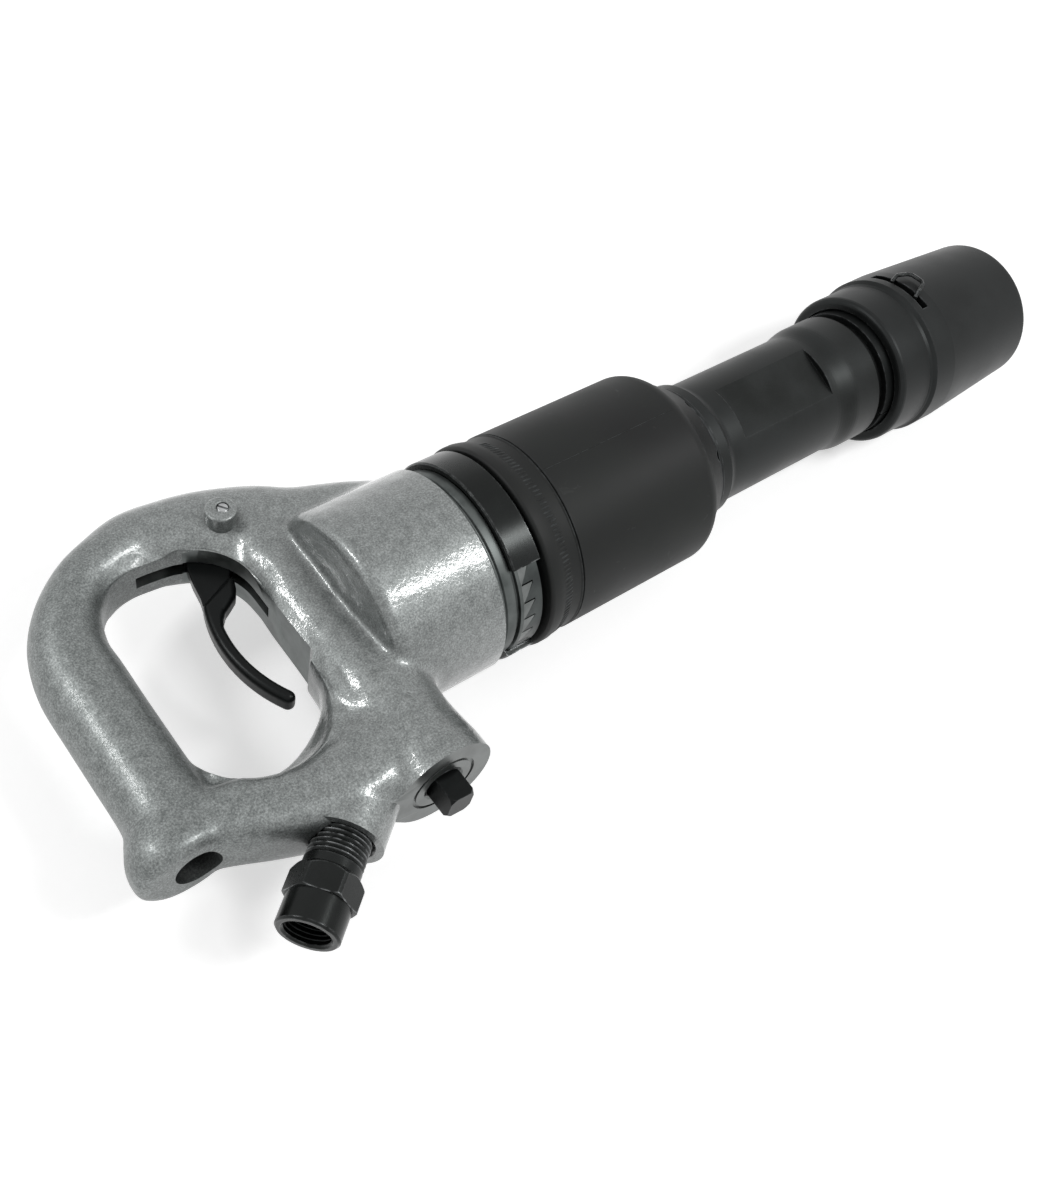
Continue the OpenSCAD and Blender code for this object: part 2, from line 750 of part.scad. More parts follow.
// One unbroken coil; the end curls lie closer, so that both ends bear on a face
spring_r = 5.1;
spring_len = y_spring - y_plug_in;
spring_rings = 8;
spring_sides = 6;
function coil_y(t) =
    let (dead = (spring_wire + 0.5), live = spring_len - spring_wire - 2 * dead,
         n = spring_turns)
    y_plug_in + spring_wire / 2
    + (t < 1 ? dead * t
       : t > n - 1 ? dead + live + dead * (t - n + 1)
       : dead + live * (t - 1) / (n - 2));
function coil_point(t) =
    [x_valve + spring_r * cos(360 * t), coil_y(t), spring_r * sin(360 * t)];
coil_steps = spring_turns * spring_rings;
coil_points = [for (i = [0 : coil_steps]) coil_point(i / spring_rings)];
// Least gap between one curl and the next, measured on the points
spring_self_gap = min([for (i = [0 : coil_steps - spring_rings])
    norm(coil_points[i + spring_rings] - coil_points[i]) - spring_wire]);

module throttle_spring() {
    echo(spring_self_gap = spring_self_gap);
    color("silver")
        skin([for (i = [0 : coil_steps])
            let (t = i / spring_rings, c = coil_points[i],
                 out = [cos(360 * t), 0, sin(360 * t)])
            [for (k = [0 : spring_sides - 1])
                let (a = 360 * k / spring_sides)
                c + spring_wire / 2 * (cos(a) * out + sin(a) * [0, 1, 0])]]);
}

module throttle_plug() {
    square_len = plug_rise + plug_sink + eps;
    corner_r = plug_square / 2 * sqrt(2);
    color([0.15, 0.15, 0.16])
        union() {
            rod_y(x_valve, y_plug, y_plug_in, plug_d / 2);
            intersection() {
                translate([x_valve, -housing_reach - plug_rise, 0])
                    rotate([-90, 0, 0])
                        rotate([0, 0, 8])
                            translate([-plug_square / 2, -plug_square / 2, 0])
                                cube([plug_square, plug_square, square_len]);
                translate([x_valve, -housing_reach - plug_rise, 0])
                    rotate([-90, 0, 0])
                        rotate_extrude()
                            polygon([[0, 0], [corner_r - 1.4, 0], [corner_r + 0.3, 2],
                                [corner_r + 0.3, square_len], [0, square_len]]);
            }
        }
}

// Air inlet

module inlet_fitting() {
    thread_r = pipe_d / 2;
    t_hex = socket_len + hex_len;
    ring0 = t_hex + 3.6;
    rings = floor((fitting_len - ring0 - 2) / pipe_pitch);
    color([0.13, 0.13, 0.14])
        on_inlet()
            difference() {
                union() {
                    rotate_extrude()
                        polygon(concat(
                            [[0, 0], [socket_d / 2 - 0.8, 0], [socket_d / 2, 0.8],
                             [socket_d / 2, socket_len + 0.6], [thread_r, socket_len + 0.6],
                             [thread_r, ring0]],
                            [for (i = [0 : rings - 1], k = [0, 1])
                                [thread_r - (k == 0 ? 0.9 : 0), ring0 + pipe_pitch * (i + (k + 1) / 2)]],
                            [[thread_r - 1, fitting_len], [0, fitting_len]]));
                    intersection() {
                        translate([0, 0, socket_len])
                            rotate([0, 0, 29])
                                cylinder(h = hex_len, r = hex_af / 2 / cos(30), $fn = 6);
                        translate([0, 0, socket_len])
                            rotate_extrude()
                                polygon([
                                    [0, 0], [hex_af / 2 + 0.5, 0], [hex_af / 2 + 1.45, 0.6],
                                    [hex_af / 2 + 1.45, hex_len - 2.2],
                                    [hex_af / 2 - 0.6, hex_len], [0, hex_len]]);
                    }
                }
                translate([0, 0, -1])
                    cylinder(h = female_depth + 1, r = female_d / 2);
                translate([0, 0, -eps])
                    cylinder(h = 0.9, r1 = female_d / 2 + 0.9, r2 = female_d / 2);
                translate([0, 0, 1])
                    cylinder(h = fitting_len, r = fitting_bore_d / 2);
            }
}

module inlet_screen() {
    color("silver")
        on_inlet()
            translate([0, 0, fitting_len - 14])
                difference() {
                    cylinder(h = 14, r = fitting_bore_d / 2);
                    translate([0, 0, 1])
                        cylinder(h = 14, r = fitting_bore_d / 2 - 1);
                    for (a = [-1.5 : 1 : 1.5], b = [-1.5 : 1 : 1.5])
                        translate([a * 2.2, b * 2.2, -1])
                            cylinder(h = 3, r = 0.7);
                }
}

// Valve gear between the handle and the barrel

module valve_cap() {
    color("dimgray")
        difference() {
            tube_x(x_cavity, x_cap, case_d / 2);
            for (a = [30 : 60 : 330])
                rotate([a, 0, 0])
                    translate([x_cavity - 1, 0, 12])
                        rotate([0, 90, 0])
                            cylinder(h = cap_t + 2, r = 3);
        }
}

module valve_case() {
    color("gray")
        difference() {
            union() {
                tube_x(x_cap, x_barrel, case_d / 2);
                tube_x(x_barrel - eps, x_barrel + spigot_len, spigot_d / 2);
            }
            tube_x(x_cap - 1, x_shuttle + shuttle_len + shuttle_travel + 0.5, shuttle_d / 2);
            tube_x(x_cap, x_barrel + spigot_len + 1, 10);
            dowels(x_barrel - dowel_len / 2, x_barrel + 1);
            for (a = [45 : 90 : 315])
                rotate([a, 0, 0])
                    translate([x_cap - 1, 0, 21])
                        rotate([0, 90, 0])
                            cylinder(h = case_len + spigot_len + 3, r = 2.2);
        }
}

module shuttle_valve() {
    color("silver")
        difference() {
            tube_x(x_shuttle, x_shuttle + shuttle_len, shuttle_d / 2 - fit, 9);
            turned([[shuttle_d / 2 - 2.5, x_shuttle + 7], [shuttle_d, x_shuttle + 7],
                [shuttle_d, x_shuttle + shuttle_len - 7], [shuttle_d / 2 - 2.5, x_shuttle + shuttle_len - 7]]);
        }
}

dowel_r = (spigot_d + case_d) / 4 + 0.4;
module dowels(x0, x1) {
    for (a = [0, 180])
        rotate([a, 0, 0])
            translate([x0, dowel_r, 0])
                rotate([0, 90, 0])
                    cylinder(h = x1 - x0, r = dowel_d / 2);
}

module dowel_pins() {
    color("silver")
        dowels(x_barrel - dowel_len / 2, x_barrel + dowel_len / 2);
}

// Lock ring and its clip

key_w = 6;
key_count = 6;
land_r = tooth_in_d / 2 - 0.9;

module lock_ring() {
    color([0.16, 0.16, 0.17])
        difference() {
            intersection() {
                union() {
                    tube_x(x_tips + gap, x_ring, tooth_d / 2);
                    tooth_spaces(0.12, x_tips + 1);
                }
                tube_x(x_roots, x_ring, tooth_d / 2);
            }
            difference() {
                tube_x(x_roots - 1, x_ring + 1, tooth_in_d / 2 - 0.6);
                for (i = [0 : key_count - 1])
                    rotate([360 * i / key_count, 0, 0])
                        translate([x_tips + gap, -key_w / 2, land_r - 2])
                            cube([x_ring - x_tips, key_w, 6]);
            }
            tube_x(x_roots - 1, x_ring + 1, land_r - 1.4);
        }
}

module lock_ring_clip() {
    r0 = tooth_d / 2 + 0.15;
    r1 = r0 + clip_t;
    x1 = x_clip;
    x0 = x1 - clip_w;
    color([0.12, 0.12, 0.13])
        turned([[r0 - 1.3, x0 + 0.2], [r0 - 1.3, x0 + 1.1], [r0, x0 + 1.3], [r0, x1 - 1.3],
            [r0 - 2.4, x1 - 1.3], [r0 - 2.4, x1], [r1 - 0.6, x1], [r1, x1 - 0.6],
            [r1, x0 + 0.6], [r1 - 0.6, x0], [r0 - 1, x0]],
            from = clip_to, to = clip_from + 360);
}

// Barrel

module barrel() {
    nr = neck_d / 2;
    fr = neck_fillet;
    rs = shoulder_d / 2;
    rn = nose_d / 2;
    as = acos(1 - (rs - nr) / fr);
    flange_r = sleeve_bore_d / 2 - fit;
    color([0.2, 0.2, 0.21])
        difference() {
            turned(concat(
                [[0, x_barrel], [thread_d / 2 - 1, x_barrel], [thread_d / 2, x_barrel + 1],
                 [thread_d / 2, x_thread], [thread_d / 2 - 1.5, x_thread],
                 [thread_d / 2 - 1.5, x_land + 0.6], [land_r, x_land + 0.6],
                 [land_r, x_ring + 0.2], [body_d / 2, x_ring + 0.2],
                 [body_d / 2, x_body], [rs, x_body], [rs, x_defl + 0.4],
                 [rs - 1.6, x_defl + 0.4], [rs - 1.6, x_defl + 2.4],
                 [rs, x_defl + 2.4], [rs, x_shoulder]],
                [for (i = [1 : 8]) let (a = as * (1 - i / 8))
                    [nr + fr * (1 - cos(a)), x_shoulder + fr * (sin(as) - sin(a))]],
                [for (i = [0 : 8])
                    [nr + (rn - nr) * (1 - cos(180 * i / 8)) / 2, x_neck + nose_rise * (i / 8 - 0.5)]],
                [[rn, x_nose - 1], [rn - 1, x_nose], [groove_d / 2, x_nose],
                 [groove_d / 2, x_flange], [flange_r, x_flange], [flange_r, x_face - 1.5],
                 [flange_r - 1.5, x_face], [0, x_face]]));
            tube_x(x_barrel - 1, x_bore, spigot_d / 2 + 0.05);
            tube_x(x_barrel, x_face + 1, bore_d / 2);
            tube_x(bore_front, x_face + 1, bushing_d / 2);
            dowels(x_barrel - 1, x_barrel + dowel_len / 2);
            for (i = [0 : port_count - 1])
                rotate([360 * i / port_count, 0, 0])
                    translate([x_bore + stroke * 0.55, 0, 0])
                        cylinder(h = body_d, r = port_d / 2);
            for (a = [45 : 90 : 315])
                rotate([a, 0, 0])
                    translate([x_barrel - 1, 0, 21])
                        rotate([0, 90, 0])
                            cylinder(h = x_neck - x_barrel - 20, r = 2.2);
            for (s = [0, 180])
                rotate([flat_angle - 90 + s, 0, 0])
                    translate([x_neck - flat_offset - flat_len, -neck_d, flat_af / 2])
                        cube([flat_len, 2 * neck_d, neck_d]);
            for (i = [0 : key_count - 1])
                rotate([360 * i / key_count, 0, 0])
                    translate([x_tips - 1, -key_w / 2 - gap, land_r - 1.6])
                        cube([x_ring - x_tips + 2, key_w + 2 * gap, 6]);
        }
}

module piston() {
    r = bore_d / 2 - fit / 2;
    x1 = x_piston + piston_len;
    color("silver")
        difference() {
            turned([[0, x_piston], [r - 2, x_piston], [r, x_piston + 2], [r, x1 - 8],
                [r - 2, x1 - 4], [r - 3, x1], [0, x1]]);
            for (i = [1 : 3])
                turned([[r - 0.6, x_piston + 14 * i], [r + 1, x_piston + 14 * i],
                    [r + 1, x_piston + 14 * i + 2], [r - 0.6, x_piston + 14 * i + 2]]);
        }
}

module chisel_bushing() {
    r = bushing_d / 2;
    rc = bushing_collar_d / 2;
    color("gray")
        turned([[shank_d / 2, bore_front], [r - 1, bore_front], [r, bore_front + 1],
            [r, x_face], [rc, x_face], [rc, x_face + bushing_collar_t - 1],
            [rc - 1, x_face + bushing_collar_t], [r - 1, x_face + bushing_collar_t],
            [r - 3, 0], [shank_d / 2, 0]]);
}

// Exhaust deflector

module exhaust_deflector() {
    r = deflector_d / 2;
    roll = deflector_roll;
    xr = x_defl_rear;
    xb = xr + deflector_band;
    rb = body_d / 2 + fit;
    rl = shoulder_d / 2 + fit;
    rn = deflector_nose_d / 2;
    cr = deflector_round;
    color([0.17, 0.17, 0.18])
        difference() {
            turned(concat(
                [[rb, xr], [r + roll - 1.6, xr]],
                arc(r + roll - 1.6, xr + 1.6, 1.6, -90, 0, 4),
                [[r + roll, xr + 5.6], [r - 0.1, xr + 10], [r - 0.5, xr + 12],
                 [r - 0.4, xb - 0.9], [r, xb - 0.5], [r - 0.4, xb], [r, xb + 0.5]],
                arc(r - cr, x_defl - 17.8, cr, 0, 55),
                [[rn + 0.9, x_defl - 0.7], [rn, x_defl], [rl, x_defl],
                 [rl, x_body + 0.2], [chamber_d / 2 - 3, x_body + 0.2], [chamber_d / 2, x_body - 3],
                 [chamber_d / 2, xb + 3], [rb, xb]]));
            for (i = [0 : notch_count - 1])
                rotate([360 * i / notch_count, 0, 0])
                    translate([x_body - 4, 0, shoulder_d / 2 + 0.3])
                        rotate([0, 90, 0])
                            cylinder(h = x_defl - x_body + 6, r = 3);
        }
}

module deflector_snap_ring() {
    rs = shoulder_d / 2;
    color("gray")
        turned([[rs - 1.5, x_defl + 0.6], [rs + 0.8, x_defl + 0.6],
            [rs + 0.8, x_defl + 2.2], [rs - 1.5, x_defl + 2.2]], from = -80, to = 262);
}

// Retainer

slot_mid = x_step + slot_back;
wire_r = wire_d / 2;
wire_path_r = pocket_d / 2 - wire_r - 0.1;

module retainer_sleeve() {
    r = sleeve_d / 2;
    rf = sleeve_front_d / 2;
    rb = sleeve_bore_d / 2;
    rk = skirt_d / 2;
    pr = pocket_d / 2;
    color([0.2, 0.2, 0.21])
        difference() {
            turned(concat(
                [[rb, x_skirt], [rk - 2.5, x_skirt]],
                arc(rk - 2.5, x_skirt + 2.5, 2.5, -90, 0, 4),
                [[rk, x_step - 2.4], [rk + 0.5, x_step - 1], [r - 0.6, x_step], [r, x_step + 0.8],
                 [r, x_step + sleeve_straight], [rf, x_sleeve - sleeve_round]],
                arc(rf - sleeve_round, x_sleeve - sleeve_round, sleeve_round, 0, 90),
                [[front_hole_d / 2 + 1, x_sleeve], [front_hole_d / 2, x_sleeve - 1],
                 [front_hole_d / 2, x_sleeve - front_wall], [rb, x_sleeve - front_wall],
                 [rb, slot_mid + slot_w / 2 + 0.5], [pr, slot_mid + slot_w / 2 + 0.5],
                 [pr, x_skirt + lip_t], [rb, x_skirt + lip_t]]));
            turned([[pr - 1, slot_mid - slot_w / 2], [r + 2, slot_mid - slot_w / 2],
                [r + 2, slot_mid + slot_w / 2], [pr - 1, slot_mid + slot_w / 2]],
                from = slot_from, to = slot_to);
        }
}

module collar_half(from, to) {
    x0 = x_skirt + lip_t + gap;
    x1 = x_flange - gap;
    x2 = slot_mid - wire_r - gap;
    r1 = pocket_d / 2 - gap;
    r2 = half_tail_d / 2;
    r3 = sleeve_bore_d / 2 + gap;
    color([0.11, 0.11, 0.12])
        turned([[half_bore_d / 2, x0 - half_tail], [r2, x0 - half_tail], [r2, x0],
            [r1, x0], [r1, x2], [r3, x2], [r3, x1], [half_bore_d / 2, x1]],
            from = from, to = to);
}

module retainer_bumper() {
    rb = sleeve_bore_d / 2;
    x1 = x_sleeve - front_wall;
    color([0.15, 0.15, 0.15])
        turned([[bumper_hole_d / 2, x1 - bumper_t], [rb - 0.1, x1 - bumper_t],
            [rb - 0.1, x1], [bumper_hole_d / 2 + 1.5, x1], [bumper_hole_d / 2, x1 - 1.5]]);
}

module thrust_ring() {
    rb = sleeve_bore_d / 2;
    x1 = x_sleeve - front_wall - bumper_t;
    color("gray")
        turned([[thrust_hole_d / 2 + 0.8, x1 - thrust_t], [rb - 0.1, x1 - thrust_t],
            [rb - 0.1, x1], [thrust_hole_d / 2, x1], [thrust_hole_d / 2, x1 - thrust_t + 0.8]]);
}

// Lock wire: a ring in the sleeve's pocket with a loop that stands out of the slot
loop_from = 72;
loop_to = 94;
wire_gap = 24;
function wire_point(r, x, a) = [x, r * cos(a), r * sin(a)];
loop_r = sleeve_d / 2 + loop_rise;
loop_stations = [
    wire_point(wire_path_r, slot_mid, loop_from - 3),
    wire_point(wire_path_r + 1.6, slot_mid, loop_from - 1),
    wire_point(sleeve_d / 2, slot_mid + 0.3, loop_from),
    wire_point(loop_r, slot_mid + 2.5, loop_from + 1),
    wire_point(loop_r, slot_mid + loop_reach - 1.5, loop_from + 4),
    wire_point(loop_r, slot_mid + loop_reach, loop_from + 7),
    wire_point(loop_r, slot_mid + loop_reach, loop_to - 7),
    wire_point(loop_r, slot_mid + loop_reach - 1.5, loop_to - 4),
    wire_point(loop_r, slot_mid + 2.5, loop_to - 1),
    wire_point(sleeve_d / 2, slot_mid + 0.3, loop_to),
    wire_point(wire_path_r + 1.6, slot_mid, loop_to + 1),
    wire_point(wire_path_r, slot_mid, loop_to + 3)];
wire_path = concat(
    [for (a = [-90 + wire_gap / 2 : 8 : loop_from - 6]) wire_point(wire_path_r, slot_mid, a)],
    loop_stations,
    [for (a = [loop_to + 8 : 8 : 270 - wire_gap / 2]) wire_point(wire_path_r, slot_mid, a)]);

// Tube of round wire along points in space; the frame is carried from the barrel axis
function wire_ring(c, t, sides) =
    let (b = unit(cross(t, [c[0] * 0, c[1], c[2]])), n = cross(b, t))
    [for (k = [0 : sides - 1]) let (a = 360 * k / sides) c + wire_r * (cos(a) * n + sin(a) * b)];

module lock_wire() {
    n = len(wire_path);
    color([0.35, 0.35, 0.36])
        skin([for (i = [0 : n - 1])
            wire_ring(wire_path[i],
                unit(wire_path[min(i + 1, n - 1)] - wire_path[max(i - 1, 0)]), 8)]);
}

handle();
trigger();
trigger_pin();
throttle_valve();
throttle_bushing();
stem_seal();
throttle_spring();
throttle_plug();
inlet_fitting();
inlet_screen();
valve_cap();
valve_case();
shuttle_valve();
dowel_pins();
lock_ring();
lock_ring_clip();
barrel();
piston();
chisel_bushing();
exhaust_deflector();
deflector_snap_ring();
retainer_sleeve();
collar_half(1, 179);  // collar_half_left
collar_half(181, 359);  // collar_half_right
retainer_bumper();
thrust_ring();
lock_wire();
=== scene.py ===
"""Looks of a hand-held pneumatic riveting hammer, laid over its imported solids."""

import math

import bpy
import bmesh
import numpy as np
from bpy.props import FloatProperty, IntProperty, PointerProperty, StringProperty
from mathutils import Matrix, Vector


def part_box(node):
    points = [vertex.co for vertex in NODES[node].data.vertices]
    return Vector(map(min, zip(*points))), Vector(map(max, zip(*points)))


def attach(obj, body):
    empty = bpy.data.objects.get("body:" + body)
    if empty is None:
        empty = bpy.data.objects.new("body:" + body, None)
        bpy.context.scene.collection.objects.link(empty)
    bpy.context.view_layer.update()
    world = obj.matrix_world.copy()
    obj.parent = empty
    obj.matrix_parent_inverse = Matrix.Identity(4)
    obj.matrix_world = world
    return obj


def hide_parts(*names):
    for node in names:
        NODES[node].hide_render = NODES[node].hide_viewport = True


bl_info = {
    "name": "Pneumatic Hammer",
    "version": (1, 0, 0),
    "blender": (4, 5, 0),
    "location": "3D View > Sidebar > Hammer",
    "description": "Dresses the packed solids of a hand-held pneumatic hammer",
    "category": "Object",
}

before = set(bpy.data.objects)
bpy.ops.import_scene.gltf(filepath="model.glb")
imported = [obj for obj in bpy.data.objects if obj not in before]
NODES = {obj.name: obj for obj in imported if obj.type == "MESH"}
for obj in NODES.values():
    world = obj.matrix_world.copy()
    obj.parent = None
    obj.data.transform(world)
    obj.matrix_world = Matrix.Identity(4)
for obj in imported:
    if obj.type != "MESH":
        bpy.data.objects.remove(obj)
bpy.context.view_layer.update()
MM = 0.001

# Places along the tool's axis, in mm from the front face of the chisel bushing
X_DEFL = -170.8
X_DEFL_REAR = -276.4
X_TIPS = -283.0
X_ROOTS = -288.4
X_PAINT = -298.5
X_BARREL = -305.0
X_CAVITY = -333.0
X_HEAD = -348.0
X_VALVE = -354.6
X_GRIP = -442.2
# Places in the handle's plane, and sizes, in mm
AXIS = 0.01
HEAD_R = 44.0
HOUSING_R = 21.1
HOUSING_FACE = -83.0
MACHINED_FACE = -80.0
GRIP_R = 16.1
PIN = (-365.5, 55.7)
PIN_HOLE_R = 2.5
PLUG_BORE_R = 8.6
BOSS_AT = (PIN[0] - 1.1, PIN[1] - 0.5)
INLET = (-426.4, -101.8)
INLET_ANGLE = 217.8
INLET_BOSS_FROM = 36.6
INLET_BOSS_TO = INLET_BOSS_FROM + 28
SLOT_CENTRE = (-375.2, 46.2)
SLOT_R = 30.0
SLOT_W = 3.1
POCKET_R = 26.3
POCKET_FROM = -385.6
POCKET_END = -17.0


# ---------------------------------------------------------------- materials
def linear(hex_colour):
    """sRGB hex text to a linear colour with alpha."""
    parts = [int(hex_colour.lstrip("#")[i:i + 2], 16) / 255 for i in (0, 2, 4)]
    return [c / 12.92 if c <= 0.04045 else ((c + 0.055) / 1.055) ** 2.4 for c in parts] + [1.0]


def add(tree, kind, inputs=(), stops=(), **settings):
    """Adds a node with its settings, and sets or links its inputs, by name or in order. A node
    among them links its first output. stops are a colour ramp's (position, hex colour)."""
    node = tree.nodes.new(kind)
    for name, value in settings.items():
        setattr(node, name, value)
    for element, (position, colour) in zip(node.color_ramp.elements if stops else (),
                                           (*stops[:1], *stops[-1:])):
        element.position, element.color = position, linear(colour)
    for position, colour in stops[1:-1]:
        node.color_ramp.elements.new(position).color = linear(colour)
    for socket, value in inputs.items() if isinstance(inputs, dict) else enumerate(inputs):
        if isinstance(value, bpy.types.Node):
            value = value.outputs[0]
        if isinstance(value, bpy.types.NodeSocket):
            tree.links.new(value, node.inputs[socket])
        else:
            node.inputs[socket].default_value = value
    return node


def new_material(name):
    """An empty material, its node tree and the object's own coordinates."""
    material = bpy.data.materials.new(name)
    material.use_nodes = True
    tree = material.node_tree
    tree.nodes.clear()
    return material, tree, add(tree, "ShaderNodeTexCoord").outputs["Object"]


def edge_wear(tree, where, base, colour, share, reach_mm, patch_mm):
    """Rubs the base back to a colour along outer edges only, broken up in patches. Returns the
    rubbed base and a normal that rounds those edges."""
    inside = add(tree, "ShaderNodeAmbientOcclusion", {"Distance": reach_mm * MM}, samples=6,
                 inside=True, only_local=True)
    edge = add(tree, "ShaderNodeMapRange", (inside.outputs["AO"], 0.93, 0.6))
    rub = add(tree, "ShaderNodeTexNoise", {"Vector": where, "Scale": 1 / (patch_mm * MM),
                                           "Detail": 3.0})
    patches = add(tree, "ShaderNodeMapRange", (rub, 0.4, 0.62))
    broken = add(tree, "ShaderNodeMath", (edge, patches), operation="MULTIPLY")
    worn = add(tree, "ShaderNodeMix", {
        0: add(tree, "ShaderNodeMapRange", (broken, 0.0, 1.0, 0.0, share)),
        6: base, 7: linear(colour)}, data_type="RGBA")
    return worn.outputs[2], add(tree, "ShaderNodeBevel", {"Radius": reach_mm * 0.5 * MM}, samples=4)


def hammered_paint(props):
    """Hammered grey enamel over a steel casting, sprayed and baked: a fine metal speckle that
    stays dull, under a clear glossy coat whose orange peel frays every highlight."""
    material, tree, where = new_material("hammered_enamel_on_cast_steel")
    # Speckle 0.75 mm across: the flake is 0.1 mm, drawn coarser so that it shows
    speck = add(tree, "ShaderNodeTexNoise", {"Vector": where, "Scale": 1 / (0.75 * MM),
                                             "Detail": 2.0, "Roughness": 0.7})
    # Mottle of the hammered finish, 4 mm across
    mottle = add(tree, "ShaderNodeTexNoise",
                 {"Vector": where, "Scale": 1 / (4 * MM), "Detail": 2.0, "Roughness": 0.5})
    tone = add(tree, "ShaderNodeMath", (
        add(tree, "ShaderNodeMapRange", (speck, 0.3, 0.7, 0.0, 0.75)),
        add(tree, "ShaderNodeMapRange", (mottle, 0.3, 0.7, 0.0, 0.25))), operation="ADD")
    base = add(tree, "ShaderNodeValToRGB", (tone,), [
        (0.0, props.paint_dark), (0.5, props.paint), (1.0, props.paint_light)])
    # Painted shade: where the ambient occlusion within 60 mm is low (in hollows, between parts and
    # on faces near the floor), the base colour is darkened by up to 0.7 towards #1c1e1e
    hollow = add(tree, "ShaderNodeAmbientOcclusion", {"Distance": 60 * MM}, samples=6)
    painted_shade = add(tree, "ShaderNodeMapRange", (hollow.outputs["AO"], 0.25, 0.8, 0.7, 0.0))
    base = add(tree, "ShaderNodeMix", {0: painted_shade, 6: base, 7: linear("#1c1e1e")}, data_type="RGBA")
    # Hands rub the gloss off the grip, up to 425 mm from the chisel end
    along = add(tree, "ShaderNodeSeparateXYZ", (where,))
    gloss = add(tree, "ShaderNodeMapRange", (along, -0.425, -0.395, 0.22, 1.0))
    # Orange peel 1.6 mm across, over the casting's own waves of 11 mm
    peel = add(tree, "ShaderNodeTexNoise", {"Vector": where, "Scale": 1 / (1.6 * MM),
                                            "Detail": 2.0, "Roughness": 0.6})
    cast = add(tree, "ShaderNodeTexNoise", {"Vector": where, "Scale": 1 / (11 * MM), "Detail": 1.0})
    under = add(tree, "ShaderNodeBump", {"Height": cast, "Distance": 1.3 * MM, "Strength": 0.35})
    orange = add(tree, "ShaderNodeBump", {"Height": peel, "Distance": 0.2 * MM,
                                          "Strength": props.orange_peel, "Normal": under})
    fine = add(tree, "ShaderNodeBump", {"Height": speck, "Distance": 0.06 * MM, "Strength": 0.5,
                                        "Normal": under})
    shader = add(tree, "ShaderNodeBsdfPrincipled", {
        "Base Color": base.outputs[2], "Metallic": 0.78, "Roughness": 0.48, "Normal": fine,
        "Coat Weight": gloss, "Coat Roughness": 0.06, "Coat Normal": orange})
    add(tree, "ShaderNodeOutputMaterial", (shader,))
    return material


def black_oxide(name, tone, high, rough, feed_mm=0.35, worn="#8d9092", wear_share=0.7, reach=0.7):
    """Oil-blackened steel, turned and then dipped: near-black metal with faint tool marks round
    the axis, and outer edges rubbed back to grey steel."""
    material, tree, where = new_material(name)
    axis = add(tree, "ShaderNodeSeparateXYZ", (where,))
    marks = add(tree, "ShaderNodeTexNoise", {"W": axis, "Scale": 1 / (feed_mm * MM),
                                             "Detail": 2.0}, noise_dimensions="1D")
    cloud = add(tree, "ShaderNodeTexNoise", {"Vector": where, "Scale": 1 / (30 * MM), "Detail": 4.0,
                                             "Roughness": 0.5})
    # Grain of the etched surface, 0.5 mm
    etch = add(tree, "ShaderNodeTexNoise", {"Vector": where, "Scale": 1 / (0.5 * MM),
                                            "Detail": 1.0})
    mixed = add(tree, "ShaderNodeMath", (
        cloud, add(tree, "ShaderNodeMapRange", (etch, 0.3, 0.7, -0.05, 0.05))), operation="ADD")
    base = add(tree, "ShaderNodeValToRGB", (add(tree, "ShaderNodeMapRange", (mixed, 0.32, 0.68)),),
               [(0.0, tone), (1.0, high)])
    base, soft = edge_wear(tree, where, base, worn, wear_share, reach, 3)
    bump = add(tree, "ShaderNodeBump", {"Height": marks, "Distance": 0.02 * MM, "Strength": 0.4,
                                        "Normal": soft})
    shader = add(tree, "ShaderNodeBsdfPrincipled", {
        "Base Color": base, "Metallic": 0.8, "Normal": bump,
        "Roughness": add(tree, "ShaderNodeMapRange", (mixed, 0.3, 0.7, *rough))})
    add(tree, "ShaderNodeOutputMaterial", (shader,))
    return material


def machined_steel(name, tone, low, feed_mm=0.3, rough=(0.28, 0.42), across="X"):
    """Bare metal left by the cutter: dull-bright, with fine feed marks and a few darker oil
    stains."""
    material, tree, where = new_material(name)
    axis = add(tree, "ShaderNodeSeparateXYZ", (where,))
    marks = add(tree, "ShaderNodeTexNoise", {"W": axis.outputs[across], "Detail": 3.0,
                                             "Scale": 1 / (feed_mm * MM)}, noise_dimensions="1D")
    stain = add(tree, "ShaderNodeTexNoise", {"Vector": where, "Scale": 1 / (9 * MM), "Detail": 4.0})
    base = add(tree, "ShaderNodeValToRGB", (add(tree, "ShaderNodeMapRange", (stain, 0.32, 0.62)),),
               [(0.0, low), (1.0, tone)])
    bump = add(tree, "ShaderNodeBump", {"Height": marks, "Distance": 0.03 * MM, "Strength": 0.5})
    shader = add(tree, "ShaderNodeBsdfPrincipled", {
        "Base Color": base, "Metallic": 1.0, "Normal": bump,
        "Roughness": add(tree, "ShaderNodeMapRange", (stain, 0.3, 0.7, *rough))})
    add(tree, "ShaderNodeOutputMaterial", (shader,))
    return material


